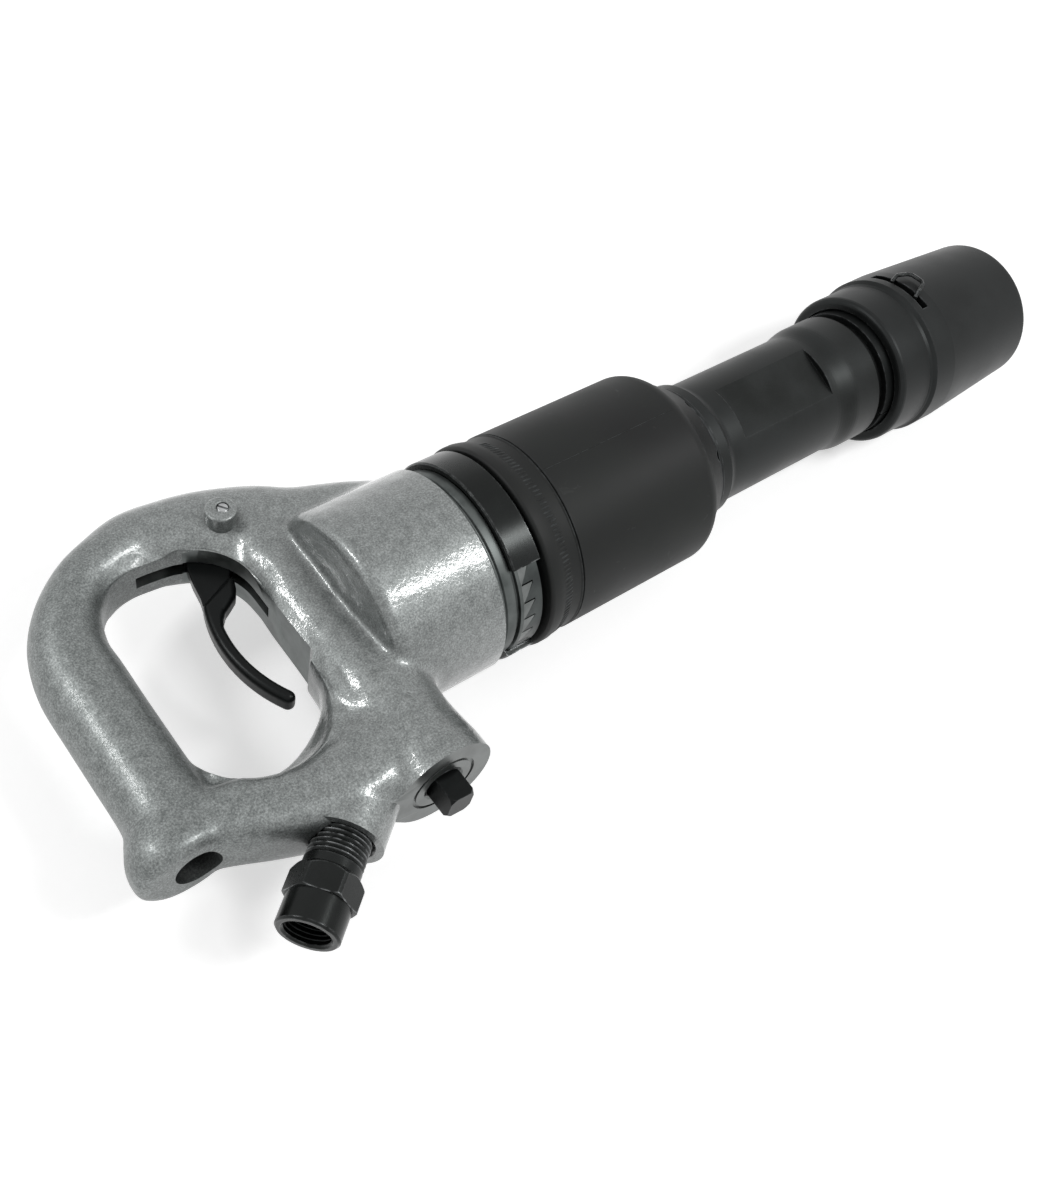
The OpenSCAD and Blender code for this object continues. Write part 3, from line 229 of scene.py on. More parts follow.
def moulded_rubber():
    """Black nitrile rubber, moulded: matt with a soft sheen, slightly greyed by bloom, with
    small handling scuffs."""
    material, tree, where = new_material("moulded_nitrile_rubber")
    bloom = add(tree, "ShaderNodeTexNoise", {"Vector": where, "Scale": 1 / (45 * MM), "Detail": 4.0,
                                             "Roughness": 0.55})
    # Skin grain of the mould, 0.4 mm
    grain = add(tree, "ShaderNodeTexNoise", {"Vector": where, "Scale": 1 / (0.4 * MM),
                                             "Detail": 2.0})
    scuff = add(tree, "ShaderNodeTexNoise", {"Vector": where, "Scale": 1 / (8 * MM), "Detail": 6.0,
                                             "Distortion": 1.5})
    base = add(tree, "ShaderNodeValToRGB", (add(tree, "ShaderNodeMapRange", (bloom, 0.36, 0.66)),),
               [(0.0, "#131414"), (1.0, "#1b1d1c")])
    scuffed = add(tree, "ShaderNodeMix", {
        0: add(tree, "ShaderNodeMapRange", (scuff, 0.66, 0.74, 0.0, 0.3)),
        6: base, 7: linear("#4a4c4b")}, data_type="RGBA")
    base, soft = edge_wear(tree, where, scuffed.outputs[2], "#55595a", 0.4, 0.7, 4)
    bump = add(tree, "ShaderNodeBump", {"Height": grain, "Distance": 0.04 * MM, "Strength": 0.3,
                                        "Normal": soft})
    shader = add(tree, "ShaderNodeBsdfPrincipled", {
        "Base Color": base, "Normal": bump, "Specular IOR Level": 0.22,
        "Roughness": add(tree, "ShaderNodeMapRange", (bloom, 0.3, 0.7, 0.46, 0.6))})
    add(tree, "ShaderNodeOutputMaterial", (shader,))
    return material


# ---------------------------------------------------------------- mesh helpers
def placed(name, data):
    """An object for a mesh, a lamp or a camera, put into the scene."""
    thing = bpy.data.objects.new(name, data)
    bpy.context.scene.collection.objects.link(thing)
    return thing


def dress(piece, body, finishes, slot, sharp_deg, *stands_for):
    """Gives a piece its finishes and smooth shading up to an angle, and lets it ride on a body
    and stand for CAD nodes."""
    mesh = piece.data
    mesh.name = piece.name
    mesh.materials.clear()
    for name in finishes:
        mesh.materials.append(material(name))
    mesh.shade_smooth()
    mesh.set_sharp_from_angle(angle=math.radians(sharp_deg))
    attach(piece, body)
    if stands_for:
        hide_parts(*stands_for)


def arc(cr, cx, r, a0, a1, n=8):
    """Points [radius, x] of an arc round a centre."""
    steps = [math.radians(a0 + (a1 - a0) * i / n) for i in range(n + 1)]
    return [(cr + r * math.cos(a), cx + r * math.sin(a)) for a in steps]


def rounded(points, radius, steps):
    """Rounds the corners of a closed outline by up to a radius, but not its slight bends."""
    out = []
    for i, corner in enumerate(points):
        a, b, c = Vector(points[i - 1]), Vector(corner), Vector(points[(i + 1) % len(points)])
        u, v = a - b, c - b
        bend = u.angle(v)
        if bend > math.radians(158):
            out.append(tuple(b))
            continue
        cut = min(radius / math.tan(bend / 2), u.length * 0.45, v.length * 0.45)
        p, q = b + u.normalized() * cut, b + v.normalized() * cut
        for k in range(steps + 1):
            t = k / steps
            out.append(tuple(p * (1 - t) ** 2 + b * 2 * t * (1 - t) + q * t * t))
    return out


def revolve_x(points, segments=160):
    """Vertices and faces of a closed outline [radius, x] turned about X."""
    n = len(points)
    vertices = []
    for i in range(segments):
        a = math.radians(360 * i / segments)
        vertices += [(x, r * math.cos(a), r * math.sin(a)) for r, x in points]
    faces = [(i * n + j, i * n + (j + 1) % n, (i + 1) % segments * n + (j + 1) % n,
              (i + 1) % segments * n + j) for i in range(segments) for j in range(n)]
    return vertices, faces


def turned_y(points, segments=72):
    """Closed outline [radius, y] turned about the throttle's axis."""
    vertices, faces = revolve_x(points, segments)
    return [(X_VALVE + y, x, z) for x, y, z in vertices], faces


def turned_z(points, centre, sign=1, segments=64):
    """Closed outline [radius, height] turned about an upright axis through a centre."""
    vertices, faces = revolve_x(points, segments)
    return [(centre[0] + y, centre[1] + z, sign * x) for x, y, z in vertices], faces


def tube(rings, n):
    """Faces of a closed tube through rings of n points each."""
    faces = [(i * n + j, i * n + (j + 1) % n, (i + 1) * n + (j + 1) % n, (i + 1) * n + j)
             for i in range(rings - 1) for j in range(n)]
    return faces + [tuple(range(n - 1, -1, -1)), tuple(range((rings - 1) * n, rings * n))]


def rod(p0, p1, r0, r1=None, n=48):
    """Cylinder or cone between two points, in mm."""
    r1 = r0 if r1 is None else r1
    p0, p1 = Vector(p0), Vector(p1)
    turn = (p1 - p0).normalized().to_track_quat("Z", "Y").to_matrix()
    vertices = []
    for p, r in ((p0, r0), (p1, r1)):
        for i in range(n):
            a = 2 * math.pi * i / n
            vertices.append(tuple(p + turn @ Vector((r * math.cos(a), r * math.sin(a), 0))))
    return vertices, tube(2, n)


def prism(outline, low, high):
    """Closed prism over an outline in the handle's plane, counter-clockwise."""
    return [(x, y, z) for z in (low, high) for x, y in outline], tube(2, len(outline))


def block(low, high):
    """Box between two corners, in mm."""
    (x0, y0, z0), (x1, y1, z1) = low, high
    return prism([(x0, y0), (x1, y0), (x1, y1), (x0, y1)], z0, z1)


def evaluated(source):
    """Plain mesh of an object with its modifiers applied, which are then taken off."""
    graph = bpy.context.evaluated_depsgraph_get()
    mesh = bpy.data.meshes.new_from_object(source.evaluated_get(graph))
    source.modifiers.clear()
    return mesh


def solid(name, vertices, faces):
    """An object from points in mm, its doubles merged and its faces pointing outwards."""
    mesh = bpy.data.meshes.new(name)
    mesh.from_pydata([tuple(c * MM for c in v) for v in vertices], [], [tuple(f) for f in faces])
    work = bmesh.new()
    work.from_mesh(mesh)
    bmesh.ops.remove_doubles(work, verts=work.verts, dist=1e-7)
    bmesh.ops.dissolve_degenerate(work, dist=1e-7, edges=work.edges)
    bmesh.ops.recalc_face_normals(work, faces=work.faces)
    work.to_mesh(mesh)
    work.free()
    mesh.update()
    return placed(name, mesh)


def drop(thing):
    """Takes an object and its mesh out of the scene."""
    mesh = thing.data
    bpy.data.objects.remove(thing)
    bpy.data.meshes.remove(mesh)


def carve(target, cutters, operation="DIFFERENCE"):
    """Takes the cutters, a list of (vertices, faces), away from an object one after another, or
    adds them to it."""
    for vertices, faces in cutters:
        tool = solid("cutter", vertices, faces)
        cut = target.modifiers.new("cut", "BOOLEAN")
        cut.operation, cut.solver, cut.object = operation, "MANIFOLD", tool
        old, target.data = target.data, evaluated(target)
        bpy.data.meshes.remove(old)
        drop(tool)


def new_tree(name, result, **sockets):
    """An empty Geometry Nodes tree with its named inputs, and the sockets that give them."""
    tree = bpy.data.node_groups.new(name, "GeometryNodeTree")
    for socket, kind in sockets.items():
        tree.interface.new_socket(socket, in_out="INPUT", socket_type="NodeSocket" + kind)
    tree.interface.new_socket(result, in_out="OUTPUT", socket_type="NodeSocketGeometry")
    return tree, add(tree, "NodeGroupInput").outputs


def end_tree(tree, result, finish):
    """Ends a tree: its instances made real, in their finish."""
    whole = add(tree, "GeometryNodeRealizeInstances", (result,))
    dressed = add(tree, "GeometryNodeSetMaterial", {"Geometry": whole, "Material": finish})
    add(tree, "NodeGroupOutput", (dressed,))
    return tree


def repeat_tree():
    """Geometry Nodes tree that repeats a shape, each copy a turn on from the last."""
    tree, entry = new_tree("repeated_shape", "Shape", Shape="Geometry", Count="Int",
                           Turn="Vector", Finish="Material")
    row = add(tree, "GeometryNodeMeshLine", {"Count": entry["Count"], "Offset": (0, 0, 0)})
    index = add(tree, "GeometryNodeInputIndex")
    turn = add(tree, "ShaderNodeVectorMath", {0: entry["Turn"], "Scale": index}, operation="SCALE")
    turned = add(tree, "FunctionNodeEulerToRotation", (turn,))
    copies = add(tree, "GeometryNodeInstanceOnPoints", {
        "Points": row, "Instance": entry["Shape"], "Rotation": turned})
    return end_tree(tree, copies, entry["Finish"])


def thread_tree():
    """Geometry Nodes tree that winds one screw thread about Z."""
    tree, entry = new_tree("screw_thread", "Thread", Turns="Float", Radius="Float",
                           Length="Float", Ridge="Float", Finish="Material")
    coil = add(tree, "GeometryNodeCurveSpiral", {
        "Resolution": 40, "Rotations": entry["Turns"], "Start Radius": entry["Radius"],
        "End Radius": entry["Radius"], "Height": entry["Length"]})
    ridge = add(tree, "GeometryNodeCurvePrimitiveCircle", {
        "Resolution": 6, "Radius": entry["Ridge"]})
    body = add(tree, "GeometryNodeCurveToMesh", {
        "Curve": coil, "Profile Curve": ridge, "Fill Caps": True})
    return end_tree(tree, body, entry["Finish"])


def grown(source, tree, name, **values):
    """A piece that a Geometry Nodes tree makes of an object, which is used up."""
    change = source.modifiers.new("nodes", "NODES")
    change.node_group = tree
    for item in tree.interface.items_tree:
        if item.item_type == "SOCKET" and item.in_out == "INPUT" and item.name in values:
            change[item.identifier] = values[item.name]
    mesh = evaluated(source)
    drop(source)
    return placed(name, mesh)


# ---------------------------------------------------------------- casting
# Stations of the two cast arms: x, y, half width, half height, squareness
UPPER_ARM = [
    (X_PAINT - 3, 28, 18, 20, 2.2), (X_PAINT - 20, 38.4, 18, 18, 2.1),
    (X_HEAD + 9, 46.4, 18.6, 17.2, 2.1), (X_VALVE + 3, 54, 19.6, 16.6, 2.1),
    (X_VALVE - 9.2, 58.4, 20.2, 16.4, 2.2), (X_VALVE - 20, 63, 19, 16.2, 2.2),
    (X_VALVE - 30, 66.6, 17, 16, 2.1), (X_VALVE - 43, 69, 14.6, 16, 2.1),
    (X_VALVE - 56, 65.9, 13.3, 16, 2), (X_GRIP + 21.2, 61.6, 12.6, 16, 2),
    (X_GRIP + 11.7, 53.9, 12.8, 16, 2), (X_GRIP + 5.5, 44.9, 13.9, 16, 2),
    (X_GRIP + 1.6, 35.2, 14.8, 16, 2), (X_GRIP + 0.2, 22.5, GRIP_R, GRIP_R, 2),
    (X_GRIP, 4, GRIP_R, GRIP_R, 2), (X_GRIP, -14, GRIP_R, GRIP_R, 2),
    (X_GRIP, -33, GRIP_R, GRIP_R, 2), (X_GRIP - 0.6, -42.5, GRIP_R + 0.4, GRIP_R, 2.1),
    (X_GRIP - 2.6, -49.5, GRIP_R + 1.6, GRIP_R + 0.6, 2.2),
    (X_GRIP - 4, -55, GRIP_R + 2.6, GRIP_R + 0.8, 2.3),
    (X_GRIP - 4, -59, GRIP_R + 1.4, GRIP_R, 2.3),
    (X_GRIP - 4, -61.4, GRIP_R - 2, GRIP_R - 3, 2.3)]
LOWER_ARM = [
    (X_VALVE + 4, -55, 20, 18.5, 2.4), (X_VALVE - 12, -59.5, 19, 18, 2.6),
    (X_VALVE - 28, -63.5, 16.5, 17.2, 2.8), (X_VALVE - 43, -62.5, 14.6, 16.4, 3),
    (X_VALVE - 57, -58.5, 13.4, 15.8, 3.2), (X_GRIP + 17, -53.8, 12.2, 15.4, 3.2),
    (X_GRIP + 5, -50.4, 11, 15, 3), (X_GRIP - 5, -48, 9, 13, 2.6)]
# Corners of the hand opening: centre and radius
CORNERS = [(X_GRIP + 37.4, 33.6, 21), (X_VALVE - 40.1, 27.7, 26),
           (X_VALVE - 42, -26, 24), (X_GRIP + 42, -24, 25.6)]
# Webs that fill the opening's lower corners: their left end, its height, half thickness
CORNER_WEBS = [(0, -30, 4), (19, -34, 6), (25, -39, 8), (31, -42, 10), (38, -42, 12.5)]
# The opening's wall: upright up to here from the middle, its rounding, and where it fades out
RIM_FROM = 6.5
RIM_ROUND = 9.5
RIM_TO = 16.5
RIM_FADE = 1.5
BOSS_PROFILE = [(AXIS, 8), (6.4, 8), *arc(5.1, 20.8, 1.2, 0, 90, 6), (AXIS, 22)]
# How far a face may lie from the cut that made it, in mm
NEAR = 0.05
# Share of the way to its neighbours' middle that a point goes in a round: when the skin is
# evened, when hollows are filled, and then along the skin
EVEN_STEP = 0.5
FILL_STEP = 0.6
SLIDE = 0.35


def blend4(a, b, c, d, t):
    """Smooth way from b to c that fits on to a and d."""
    return ((2 * b) + (c - a) * t + (2 * a - 5 * b + 4 * c - d) * t * t
            + (3 * b - a - 3 * c + d) * t ** 3) / 2


def swept_arm(stations):
    """Closed skin of a cast arm through its stations."""
    steps, around = 6, 56
    p = np.array(stations, float)
    last = len(p) - 1
    path = np.array([blend4(p[max(i - 1, 0)], p[i], p[i + 1], p[min(i + 2, last)], k / steps)
                     for i in range(last) for k in range(steps)] + [p[-1]])
    m = len(path)
    vertices = []
    for i in range(m):
        way = path[min(i + 1, m - 1)][:2] - path[max(i - 1, 0)][:2]
        way /= np.linalg.norm(way)
        side = np.array([-way[1], way[0]])
        x, y, half_w, half_h, square = path[i]
        for j in range(around):
            a = -2 * math.pi * j / around
            c, s, e = math.cos(a), math.sin(a), 2 / square
            u = half_w * math.copysign(abs(c) ** e, c)
            v = half_h * math.copysign(abs(s) ** e, s)
            vertices.append((x + side[0] * u, y + side[1] * u, v))
    return vertices, tube(m, around)


def hull_outline(circles, n=72):
    """Outline round several circles, counter-clockwise."""
    points = sorted((x + r * math.cos(2 * math.pi * i / n), y + r * math.sin(2 * math.pi * i / n))
                    for x, y, r in circles for i in range(n))

    def half(rows):
        chain = []
        for p in rows:
            while len(chain) > 1 and ((chain[-1][0] - chain[-2][0]) * (p[1] - chain[-2][1])
                                      - (chain[-1][1] - chain[-2][1]) * (p[0] - chain[-2][0])) <= 0:
                chain.pop()
            chain.append(p)
        return chain[:-1]

    return np.array(half(points) + half(points[::-1]))


def on_inlet(t):
    """Point on the inlet's axis, t mm from its rim into the handle."""
    a = math.radians(INLET_ANGLE)
    return INLET[0] - t * math.cos(a), INLET[1] - t * math.sin(a), 0.0


def casting_shells():
    """The closed shells that the casting is fused from."""
    r, waist = HOUSING_R, 17.5
    y1, y2, y3 = -38.0, 0.0, 24.0
    ease = [(1 - math.cos(math.pi * i / 6)) / 2 for i in range(1, 7)]
    housing = ([(AXIS, HOUSING_FACE), (r, HOUSING_FACE), (r, -74)]
               + [(r - 1.2 * math.sin(math.pi * i / 8), -72 + (y1 + 72) * i / 8) for i in range(9)]
               + [(r + (waist - r) * k, y1 + (y2 - y1) * (i + 1) / 6) for i, k in enumerate(ease)]
               + [(waist + (r - 3 - waist) * k, y2 + (y3 - y2) * (i + 1) / 6)
                  for i, k in enumerate(ease)]
               + [(r - 4, PIN[1]), (AXIS, PIN[1])])
    head = [(AXIS, X_HEAD), (HEAD_R - 4, X_HEAD), *arc(HEAD_R - 4, X_HEAD + 4, 4, -90, 0),
            (HEAD_R, X_PAINT + 3), (AXIS, X_PAINT + 3)]
    webs = [prism([(X_GRIP + left, -56), (X_VALVE, -59), (X_VALVE, -25), (X_VALVE - 20, -25),
                   (X_GRIP + left, top)], -half, half) for left, top, half in CORNER_WEBS]
    # The wall between the hand opening and the head, and what fills the opening's upper corner
    wall = block((X_VALVE - 36, -57, -11), (X_VALVE, 60, 11))
    corner = block((X_VALVE - 62, 49, -9), (X_VALVE - 30, 62, 9))
    boss = rod(on_inlet(INLET_BOSS_FROM + 1), on_inlet(INLET_BOSS_TO), 14.8)
    return [revolve_x(head, 120), swept_arm(UPPER_ARM), swept_arm(LOWER_ARM), turned_y(housing),
            wall, corner, boss, *webs]


def open_hand_hole(points):
    """Pushes what stands in the hand opening back to its wall, upright in the middle and rounded
    towards both faces."""
    a = hull_outline(CORNERS)
    side = np.roll(a, -1, axis=0) - a
    length = np.einsum("ij,ij->i", side, side)
    spots = np.nonzero(np.abs(points[:, 2]) < RIM_TO)[0]
    p, height = points[spots, :2], np.abs(points[spots, 2])
    t = np.clip(((p[:, None] - a) * side).sum(2) / length, 0, 1)
    foot = a + t[..., None] * side
    distance = np.sqrt(((p[:, None] - foot) ** 2).sum(2))
    best = distance.argmin(1)
    normal = np.stack([side[best, 1], -side[best, 0]], 1)
    normal /= np.linalg.norm(normal, axis=1, keepdims=True)
    nearest = distance[np.arange(len(p)), best]
    signed = np.where(((a[best] - p) * normal).sum(1) > 0, nearest, -nearest)
    high = np.clip(height - RIM_FROM, 0, RIM_ROUND * 0.96)
    back = RIM_ROUND - np.sqrt(RIM_ROUND ** 2 - high ** 2)
    push = np.clip(signed + back, 0, None) * np.clip((RIM_TO - height) / RIM_FADE, 0, 1)
    points[spots, :2] += normal * push[:, None]


def relax(points, edges, rounds, weight, quads=None):
    """Evens a mesh out. With its quads it only fills hollows, as a fillet does, and slides
    points along the skin."""
    degree = np.bincount(edges.ravel(), minlength=len(points))[:, None]
    for _ in range(rounds):
        total = np.zeros_like(points)
        np.add.at(total, edges[:, 0], points[edges[:, 1]])
        np.add.at(total, edges[:, 1], points[edges[:, 0]])
        step = total / degree - points
        if quads is not None:
            corner = points[quads]
            face_normal = np.cross(corner[:, 2] - corner[:, 0], corner[:, 3] - corner[:, 1])
            normal = np.zeros_like(points)
            for k in range(4):
                np.add.at(normal, quads[:, k], face_normal)
            normal /= np.linalg.norm(normal, axis=1, keepdims=True) + 1e-12
            out = (step * normal).sum(1, keepdims=True)
            step = normal * np.clip(out, 0, None) + (step - normal * out) * SLIDE
        points += step * weight


def fused(name, shells, voxel_mm, fill_rounds, even_rounds, shape=None):
    """Fuses closed shells in fine voxels, fills the hollows where they meet as a fillet does,
    and evens the skin out before and after. shape moves the mesh's points, in mm, on the way."""
    vertices, faces = [], []
    for shell_vertices, shell_faces in shells:
        offset = len(vertices)
        vertices += shell_vertices
        faces += [tuple(i + offset for i in f) for f in shell_faces]
    rough = solid("rough", vertices, faces)
    fuse = rough.modifiers.new("fuse", "REMESH")
    fuse.mode, fuse.voxel_size, fuse.adaptivity = "VOXEL", voxel_mm * MM, 0.0
    mesh = evaluated(rough)
    drop(rough)
    points = np.empty(len(mesh.vertices) * 3)
    mesh.vertices.foreach_get("co", points)
    points = points.reshape(-1, 3) / MM
    edges = np.empty(len(mesh.edges) * 2, int)
    mesh.edges.foreach_get("vertices", edges)
    edges = edges.reshape(-1, 2)
    quads = np.array([tuple(p.vertices) for p in mesh.polygons if len(p.vertices) == 4])
    first, last = even_rounds
    for rounds, weight, filled in ((first, EVEN_STEP, None), (fill_rounds, FILL_STEP, quads)):
        if shape:
            shape(points)
        relax(points, edges, rounds, weight, filled)
    relax(points, edges, last, EVEN_STEP)
    mesh.vertices.foreach_set("co", (points * MM).ravel())
    mesh.update()
    return placed(name, mesh)


def pocket_outline():
    """Outline of the milled place beside the trigger."""
    cx, cy, _ = CORNERS[1]
    top = math.degrees(math.acos((POCKET_FROM - cx) / POCKET_R))
    return [(POCKET_FROM, POCKET_END), *arc(cx + POCKET_R - 5, POCKET_END + 5, 5, -90, 0, 6),
            *arc(cx, cy, POCKET_R, 0, top, 24)]


def machining_cuts():
    """What the mills, drills and lathe take from the casting."""
    face = [(AXIS, X_PAINT), (HEAD_R - 1, X_PAINT), (HEAD_R, X_PAINT - 1), (60, X_PAINT - 1),
            (60, X_PAINT + 12), (AXIS, X_PAINT + 12)]
    bore = [(AXIS, X_CAVITY), (29.75, X_CAVITY), (29.75, X_BARREL), (33.05, X_BARREL),
            (33.05, X_PAINT + 8), (AXIS, X_PAINT + 8)]
    plug_bore = [(AXIS, -86), (PLUG_BORE_R, -86), (PLUG_BORE_R, MACHINED_FACE), (7.6, -79),
                 (7.6, -62), (7.2, -62), (7.2, 0), (AXIS, 0)]
    plug_groove = [(12.2, -82), (13.6, -82), (13.6, -79.2), (12.2, -79.2)]
    lug_x = X_GRIP - 1.2
    return [
        revolve_x(face),
        revolve_x(bore, 96),
        prism(pocket_outline(), -20, 20),
        turned_y(plug_bore, 64),
        turned_y(plug_groove, 96),
        rod((X_VALVE, -1, 0), (X_VALVE, PIN[1], 0), 3.08),
        rod(on_inlet(INLET_BOSS_FROM - 10), on_inlet(60.25), 10.73, n=64),
        rod(on_inlet(INLET_BOSS_FROM - 0.05), on_inlet(INLET_BOSS_FROM + 1.4), 12.05, 10.6, n=64),
        rod((*SLOT_CENTRE, -SLOT_W), (*SLOT_CENTRE, SLOT_W), SLOT_R, n=128),
        rod((*PIN, -30), (*PIN, 30), PIN_HOLE_R, n=40),
        rod((lug_x, -70, 0), (lug_x, -41.5, 0), 8.5, n=64),
        *(rod((*PIN, 21.5 * s), (*PIN, 22.2 * s), PIN_HOLE_R, 3.3, n=40) for s in (1, -1))]


def finish_of_face(face):
    """Which finish a face of the casting has: 0 paint, 1 turned or drilled, 2 end-milled."""
    x, y, z = (c / MM for c in face.center)
    n = face.normal
    cx, cy, _ = CORNERS[1]
    housing = y < MACHINED_FACE + 0.9 and n.y < -0.9
    bore = math.hypot(x - X_VALVE, z) < PLUG_BORE_R + NEAR and y < 2 and abs(n.y) < 0.95
    inner = math.hypot(y, z) < HEAD_R - 0.9 and x > X_PAINT - NEAR
    slot = abs(n.z) > 0.95 and abs(abs(z) - SLOT_W) < NEAR
    in_pocket = abs(n.z) < 0.05 and x > POCKET_FROM - NEAR and y > POCKET_END - NEAR
    wall = (abs(x - cx - POCKET_R) < NEAR if y < cy
            else abs(math.hypot(x - cx, y - cy) - POCKET_R) < 0.08)
    return 2 if slot or in_pocket and wall else int(housing or bore or inner)


# ---------------------------------------------------------------- trigger
# The raised part of the lever: its centre, inner and outer radius, and where its tip ends, in
# degrees. Then the outline of its flat face
LEVER_C = (X_VALVE + 22.3, 8.0)
LEVER_R = (55.6, 61.0)
LEVER_TIP = 209.5
LEVER_FACE = [(-371.5, 61.7), (-382.9, 57.0), (-385.5, 48.9), (-386.9, 42.6), (-388.0, 34.7),
              (-389.2, 30.3), (-373.1, 37.5), (-364.5, 47.4), (-365.5, 55.7)]
LEVER_HALF = 2.8


def lever_outline():
    """Raised part of the lever: from the flat face's edge down to the round tip."""
    inner, outer = LEVER_R
    root = [(-373.1, 37.6), (-372.4, 35.4), (-373.8, 31.6), (-376.0, 28.4), (-379.4, 26.1),
            (-383.0, 23.9), (-385.2, 21.4)]
    tip = arc(*LEVER_C, (inner + outer) / 2, LEVER_TIP, LEVER_TIP, 1)[0]
    points = (root + arc(*LEVER_C, inner, 169.5, LEVER_TIP, 14)
              + arc(*tip, (outer - inner) / 2, LEVER_TIP + 180, LEVER_TIP, 8)[1:-1]
              + arc(*LEVER_C, outer, LEVER_TIP, 158.6, 18))
    return points[::-1]


def inset(outline, distance):
    """Moves the corners of a counter-clockwise outline inwards."""
    out = []
    for i, corner in enumerate(outline):
        a, b, c = Vector(outline[i - 1]), Vector(corner), Vector(outline[(i + 1) % len(outline)])
        u, v = (b - a).normalized(), (c - b).normalized()
        normal = Vector((-u.y - v.y, u.x + v.x)).normalized()
        out.append(tuple(b + normal * distance / max(0.5, normal.dot(Vector((-u.y, u.x))))))
    return out


# ---------------------------------------------------------------- sizes and colours
class HammerCasting(bpy.types.PropertyGroup):
    casting_grain: FloatProperty(name="Grain", default=1.05, min=0.8, max=3.0,
                                 description="Voxel of the fused casting, in mm")
    fillet_rounds: IntProperty(name="Fillet", default=34, min=0, max=80,
                               description="How far the fillets between the limbs are filled")


class HammerFinish(bpy.types.PropertyGroup):
    paint: StringProperty(name="Paint", default="#777b7a", description="Middle tone of the enamel")
    paint_dark: StringProperty(name="Paint shade", default="#515554",
                               description="Darker grains of the enamel")
    paint_light: StringProperty(name="Paint light", default="#9b9f9e",
                                description="Lighter grains of the enamel")
    orange_peel: FloatProperty(name="Orange peel", default=0.8, min=0.0, max=1.0,
                               description="How strongly the clear coat ripples")


class HammerStage(bpy.types.PropertyGroup):
    lens: FloatProperty(name="Lens", default=40.5294, min=20, max=120, subtype="DISTANCE_CAMERA",
                        description="Focal length of the camera, in mm")
    front: FloatProperty(name="Front softbox", default=7.6, min=0, max=100, unit="POWER",
                         description="Power of the softbox on the chisel side")
    rear: FloatProperty(name="Rear softbox", default=5.0, min=0, max=100, unit="POWER",
                        description="Power of the softbox behind the handle")


GROUPS = {"hammer_casting": HammerCasting, "hammer_finish": HammerFinish,
          "hammer_stage": HammerStage}
MATERIALS = {}


def material(name):
    """One of the finishes, which are all made at the first call."""
    if not MATERIALS:
        props = bpy.context.scene.hammer_finish
        MATERIALS.update({
            "paint": hammered_paint(props),
            "oxide": black_oxide("black_oxide_on_turned_steel", "#1b1d1d", "#252727", (0.38, 0.5),
                                 0.35, "#6d7072", 0.4),
            "oxide_gloss": black_oxide("oiled_black_oxide_on_steel_fittings", "#1b1d1c", "#262828",
                                       (0.22, 0.32), 0.25, "#9a9d9e", 0.75, 0.6),
            "oxide_barrel": black_oxide("black_oxide_on_forged_barrel", "#1c1e1d", "#292b2b",
                                        (0.36, 0.5), 0.5, "#5d6061", 0.25, 0.8),
            "oxide_cast": black_oxide("oiled_black_oxide_on_cast_steel", "#0f1111", "#171919",
                                      (0.28, 0.4), 0.6, "#5f6263", 0.35, 0.5),
            "ring": machined_steel("blued_milled_ring_steel", "#4b4f4e", "#3a3d3d", 0.3,
                                   (0.34, 0.46)),
            "rim": machined_steel("turned_rim_steel", "#5e6261", "#484c4b", 0.4, (0.4, 0.5)),
            "milled": machined_steel("bare_milled_steel", "#767978", "#5c5f5e"),
            "wall": machined_steel("bare_end_milled_steel", "#7d8180", "#606463", 0.5,
                                   (0.34, 0.5), "Y"),
            "rubber": moulded_rubber(),
            "ground": machined_steel("ground_alloy_steel", "#c2c4c4", "#9b9d9e", 0.12),
            "bronze": machined_steel("turned_bronze", "#a9864f", "#7d6238", 0.25),
            "brass": machined_steel("woven_brass_screen", "#b3924e", "#84693a", 0.4)})
    return MATERIALS[name]


FINISH_OF_NODE = {node: finish for finish, nodes in {
    "paint": ["handle"], "milled": ["trigger_pin"], "ring": ["lock_ring"],
    "oxide_cast": ["trigger", "throttle_plug"], "oxide_barrel": ["barrel"],
    "oxide_gloss": ["inlet_fitting", "lock_ring_clip", "lock_wire"],
    "oxide": ["deflector_snap_ring", "retainer_sleeve", "collar_half_left",
              "collar_half_right", "thrust_ring"],
    "rubber": ["stem_seal", "exhaust_deflector", "retainer_bumper"],
    "bronze": ["throttle_bushing"], "brass": ["inlet_screen"],
    "ground": ["throttle_valve", "throttle_spring", "valve_cap", "valve_case",
               "shuttle_valve", "dowel_pins", "piston", "chisel_bushing"],
}.items() for node in nodes}


# ---------------------------------------------------------------- operators
class HAMMER_OT_finishes(bpy.types.Operator):
    """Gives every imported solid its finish"""
    bl_idname = "hammer.finishes"
    bl_label = "Finishes"

    def execute(self, context):
        for name, node in NODES.items():
            node.data.materials.clear()
            node.data.materials.append(material(FINISH_OF_NODE[name]))
        return {"FINISHED"}


class HAMMER_OT_casting(bpy.types.Operator):
    """Makes the painted D-handle and head, filleted and machined"""
    bl_idname = "hammer.casting"
    bl_label = "Casting"

    def execute(self, context):
        props = context.scene.hammer_casting
        piece = fused("handle_casting", casting_shells(), props.casting_grain,
                      props.fillet_rounds, (4, 2), open_hand_hole)
        carve(piece, [block((X_VALVE - 60, -110, -40), (X_VALVE + 40, MACHINED_FACE, 40))])
        carve(piece, [*(turned_z(BOSS_PROFILE, BOSS_AT, s) for s in (1, -1)),
                      rod(on_inlet(INLET_BOSS_FROM), on_inlet(INLET_BOSS_TO), 15, n=96)], "UNION")
        carve(piece, machining_cuts())
        dress(piece, "tool", ("paint", "milled", "wall"), "handle_paint", 36, "handle")
        faces = piece.data.polygons
        faces.foreach_set("material_index", [finish_of_face(face) for face in faces])
        return {"FINISHED"}


